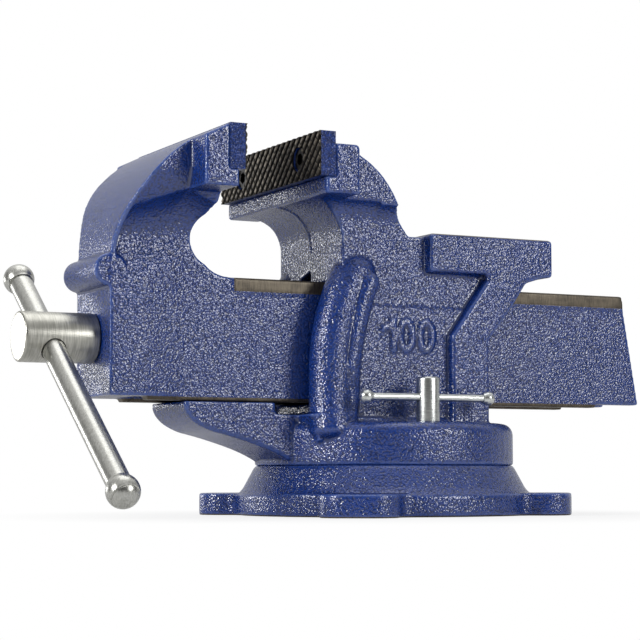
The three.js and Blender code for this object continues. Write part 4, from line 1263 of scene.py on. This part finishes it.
pin = turned("thrust_pin", profile, (pin_x, pin_low.y, SPINDLE_AXIS), (0, 1, 0), steel, 32)
for piece, node in ((collar, "spindle_collar"), (pin, "collar_pin")):
    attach(piece, "spindle")
    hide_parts(node)
print("collar", round(2 * collar_r / MM, 1), "mm across")

# %% [markdown]
# ## The sliding handle
# A plain drawn bar with a knob fixed on each end so it can't fall out. Each knob is turned from a ball:
# a neck towards the bar, a groove near the far end where it was parted, and a flat last face.

# %% Handle
bar_centre = (bar_low + bar_high) / 2
bar_half = (bar_high.y - bar_low.y - 2 * HANDLE_R * abs(handle_way.z)) / 2 / abs(handle_way.y)
start = bar_centre - handle_way * bar_half
bar = round_bar("handle_rod", HANDLE_R, 2 * bar_half, start, handle_way, bar_steel, 64)
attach(bar, "handle")
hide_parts("handle_bar")
KNOB_R = HANDLE_R + 1.7 * MM
FLAT_SHARE = 0.62


def knob(name, centre, outward, radius, rod, material, groove_deep, sides=64):
    """A turned ball about its centre, with a parted groove and a flat on the outward side."""
    neck = math.degrees(math.asin((rod + 0.7 * MM) / radius))
    flat = math.degrees(math.asin(FLAT_SHARE * rod / radius))
    inner = -radius * math.cos(math.radians(neck)) - 0.8 * MM
    points = [(inner, 0), (inner, rod + 0.5 * MM), *arc((0, 0), radius, 180 - neck, 62)]
    lip = points[-1]
    if groove_deep:
        points += [(lip[0] + wide, lip[1] - groove_deep) for wide in (0.15 * MM, 0.55 * MM)]
    points += arc((0, 0), radius, 54, flat, 8)
    points.append((radius * math.cos(math.radians(flat)), 0))
    return turned(name, points, centre, outward, material, sides)


for node, way in (("handle_ball_upper", 1), ("handle_ball_lower", -1)):
    low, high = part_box(node)
    spot = (low + high) / 2
    spot.x = CROSS.x
    along = (spot - CROSS).dot(handle_way)
    centre = CROSS + handle_way * along
    name = node.replace("ball", "knob")
    ball = knob(name, centre, handle_way * way, KNOB_R, HANDLE_R, bar_steel, 0.5 * MM)
    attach(ball, "handle")
    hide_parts(node)
print("handle", round(2 * bar_half / MM, 1), "mm long")

# %% [markdown]
# ## Swivel locks
# On each side of the body a zinc-plated bolt with a T-bar clamps the swivel. The bolt's head is a
# turned post with a cross hole, and the bar has a small swaged ball at each end.

# %% Locks
PLATE_TOP = 40.3 * MM
SHANK_R, POST_ROUND = 3.6 * MM, 1.2 * MM
for side in ("near", "far"):
    low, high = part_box("lock_screw_" + side)
    bar_a, bar_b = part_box("lock_bar_" + side)
    post_r = (high.x - low.x) / 2
    axis = Vector(((low.x + high.x) / 2, (low.y + high.y) / 2, low.z))
    long, seat = high.z - low.z, PLATE_TOP - low.z
    profile = [(0, 0), (0, SHANK_R - 0.6 * MM), (0.6 * MM, SHANK_R), (seat, SHANK_R),
               (seat, post_r - 0.3 * MM), (seat + 0.3 * MM, post_r),
               *arc((long - POST_ROUND, post_r - POST_ROUND), POST_ROUND, 90, 0, 6), (long, 0)]
    post = turned("lock_post_" + side, profile, axis, (0, 0, 1), zinc, 72)
    bar_z, bar_r = (bar_a.z + bar_b.z) / 2, (bar_b.z - bar_a.z) / 2
    hole_start = (axis.x - 12 * MM, axis.y, bar_z)
    cut(post, round_bar("bar_hole", bar_r + 0.3 * MM, 24 * MM, hole_start, (1, 0, 0), zinc, 40))
    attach(post, "lock_" + side)
    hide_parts("lock_screw_" + side)
    start = (bar_a.x, axis.y, bar_z)
    rod = round_bar("lock_rod_" + side, bar_r, bar_b.x - bar_a.x, start, (1, 0, 0), zinc, 40)
    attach(rod, "lock_bar_" + side)
    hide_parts("lock_bar_" + side)
    for end, way in (("front", -1), ("rear", 1)):
        a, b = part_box("lock_ball_%s_%s" % (side, end))
        r = (b.y - a.y) / 2
        outer = a.x if way < 0 else b.x
        flat = math.asin(FLAT_SHARE * bar_r / r)
        spot = (outer - way * r * math.cos(flat), axis.y, bar_z)
        ball = knob("lock_tip_%s_%s" % (side, end), spot, (way, 0, 0), r, bar_r, zinc, 0, 40)
        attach(ball, "lock_bar_" + side)
        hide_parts("lock_ball_%s_%s" % (side, end))
print("two locks with T-bars")

# %% [markdown]
# ## Nuts and bolt inside
# The block that the screw runs in, the square nuts in the base's slot and the bolt that holds the
# block keep their CAD shape, with their edges broken by a bevel.

# %% Inner pieces
def edge_broken(node, name, material, width):
    made = copy_of(node, name, material)
    flat = made.modifiers.new("flat", "DECIMATE")
    flat.decimate_type, flat.angle_limit = "DISSOLVE", math.radians(2)
    soft = made.modifiers.new("soft", "BEVEL")
    soft.width, soft.segments, soft.limit_method, soft.angle_limit = width, 2, "ANGLE", math.radians(40)
    applied(made)
    return tidy(made)


for node, name, material, body, slot in (
    ("spindle_nut", "screw_block", iron, "body", "iron"),
    ("nut_bolt", "block_bolt", zinc, "body", "zinc"),
    ("lock_nut_near", "slot_nut_near", zinc, "body", "zinc"),
    ("lock_nut_far", "slot_nut_far", zinc, "body", "zinc"),
):
    piece = edge_broken(node, name, material, 0.4 * MM)
    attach(piece, body)
    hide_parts(node)
    print(name, len(piece.data.polygons), "faces")

# %% [markdown]
# ## The end
# The visual model stays inside the CAD model's box.
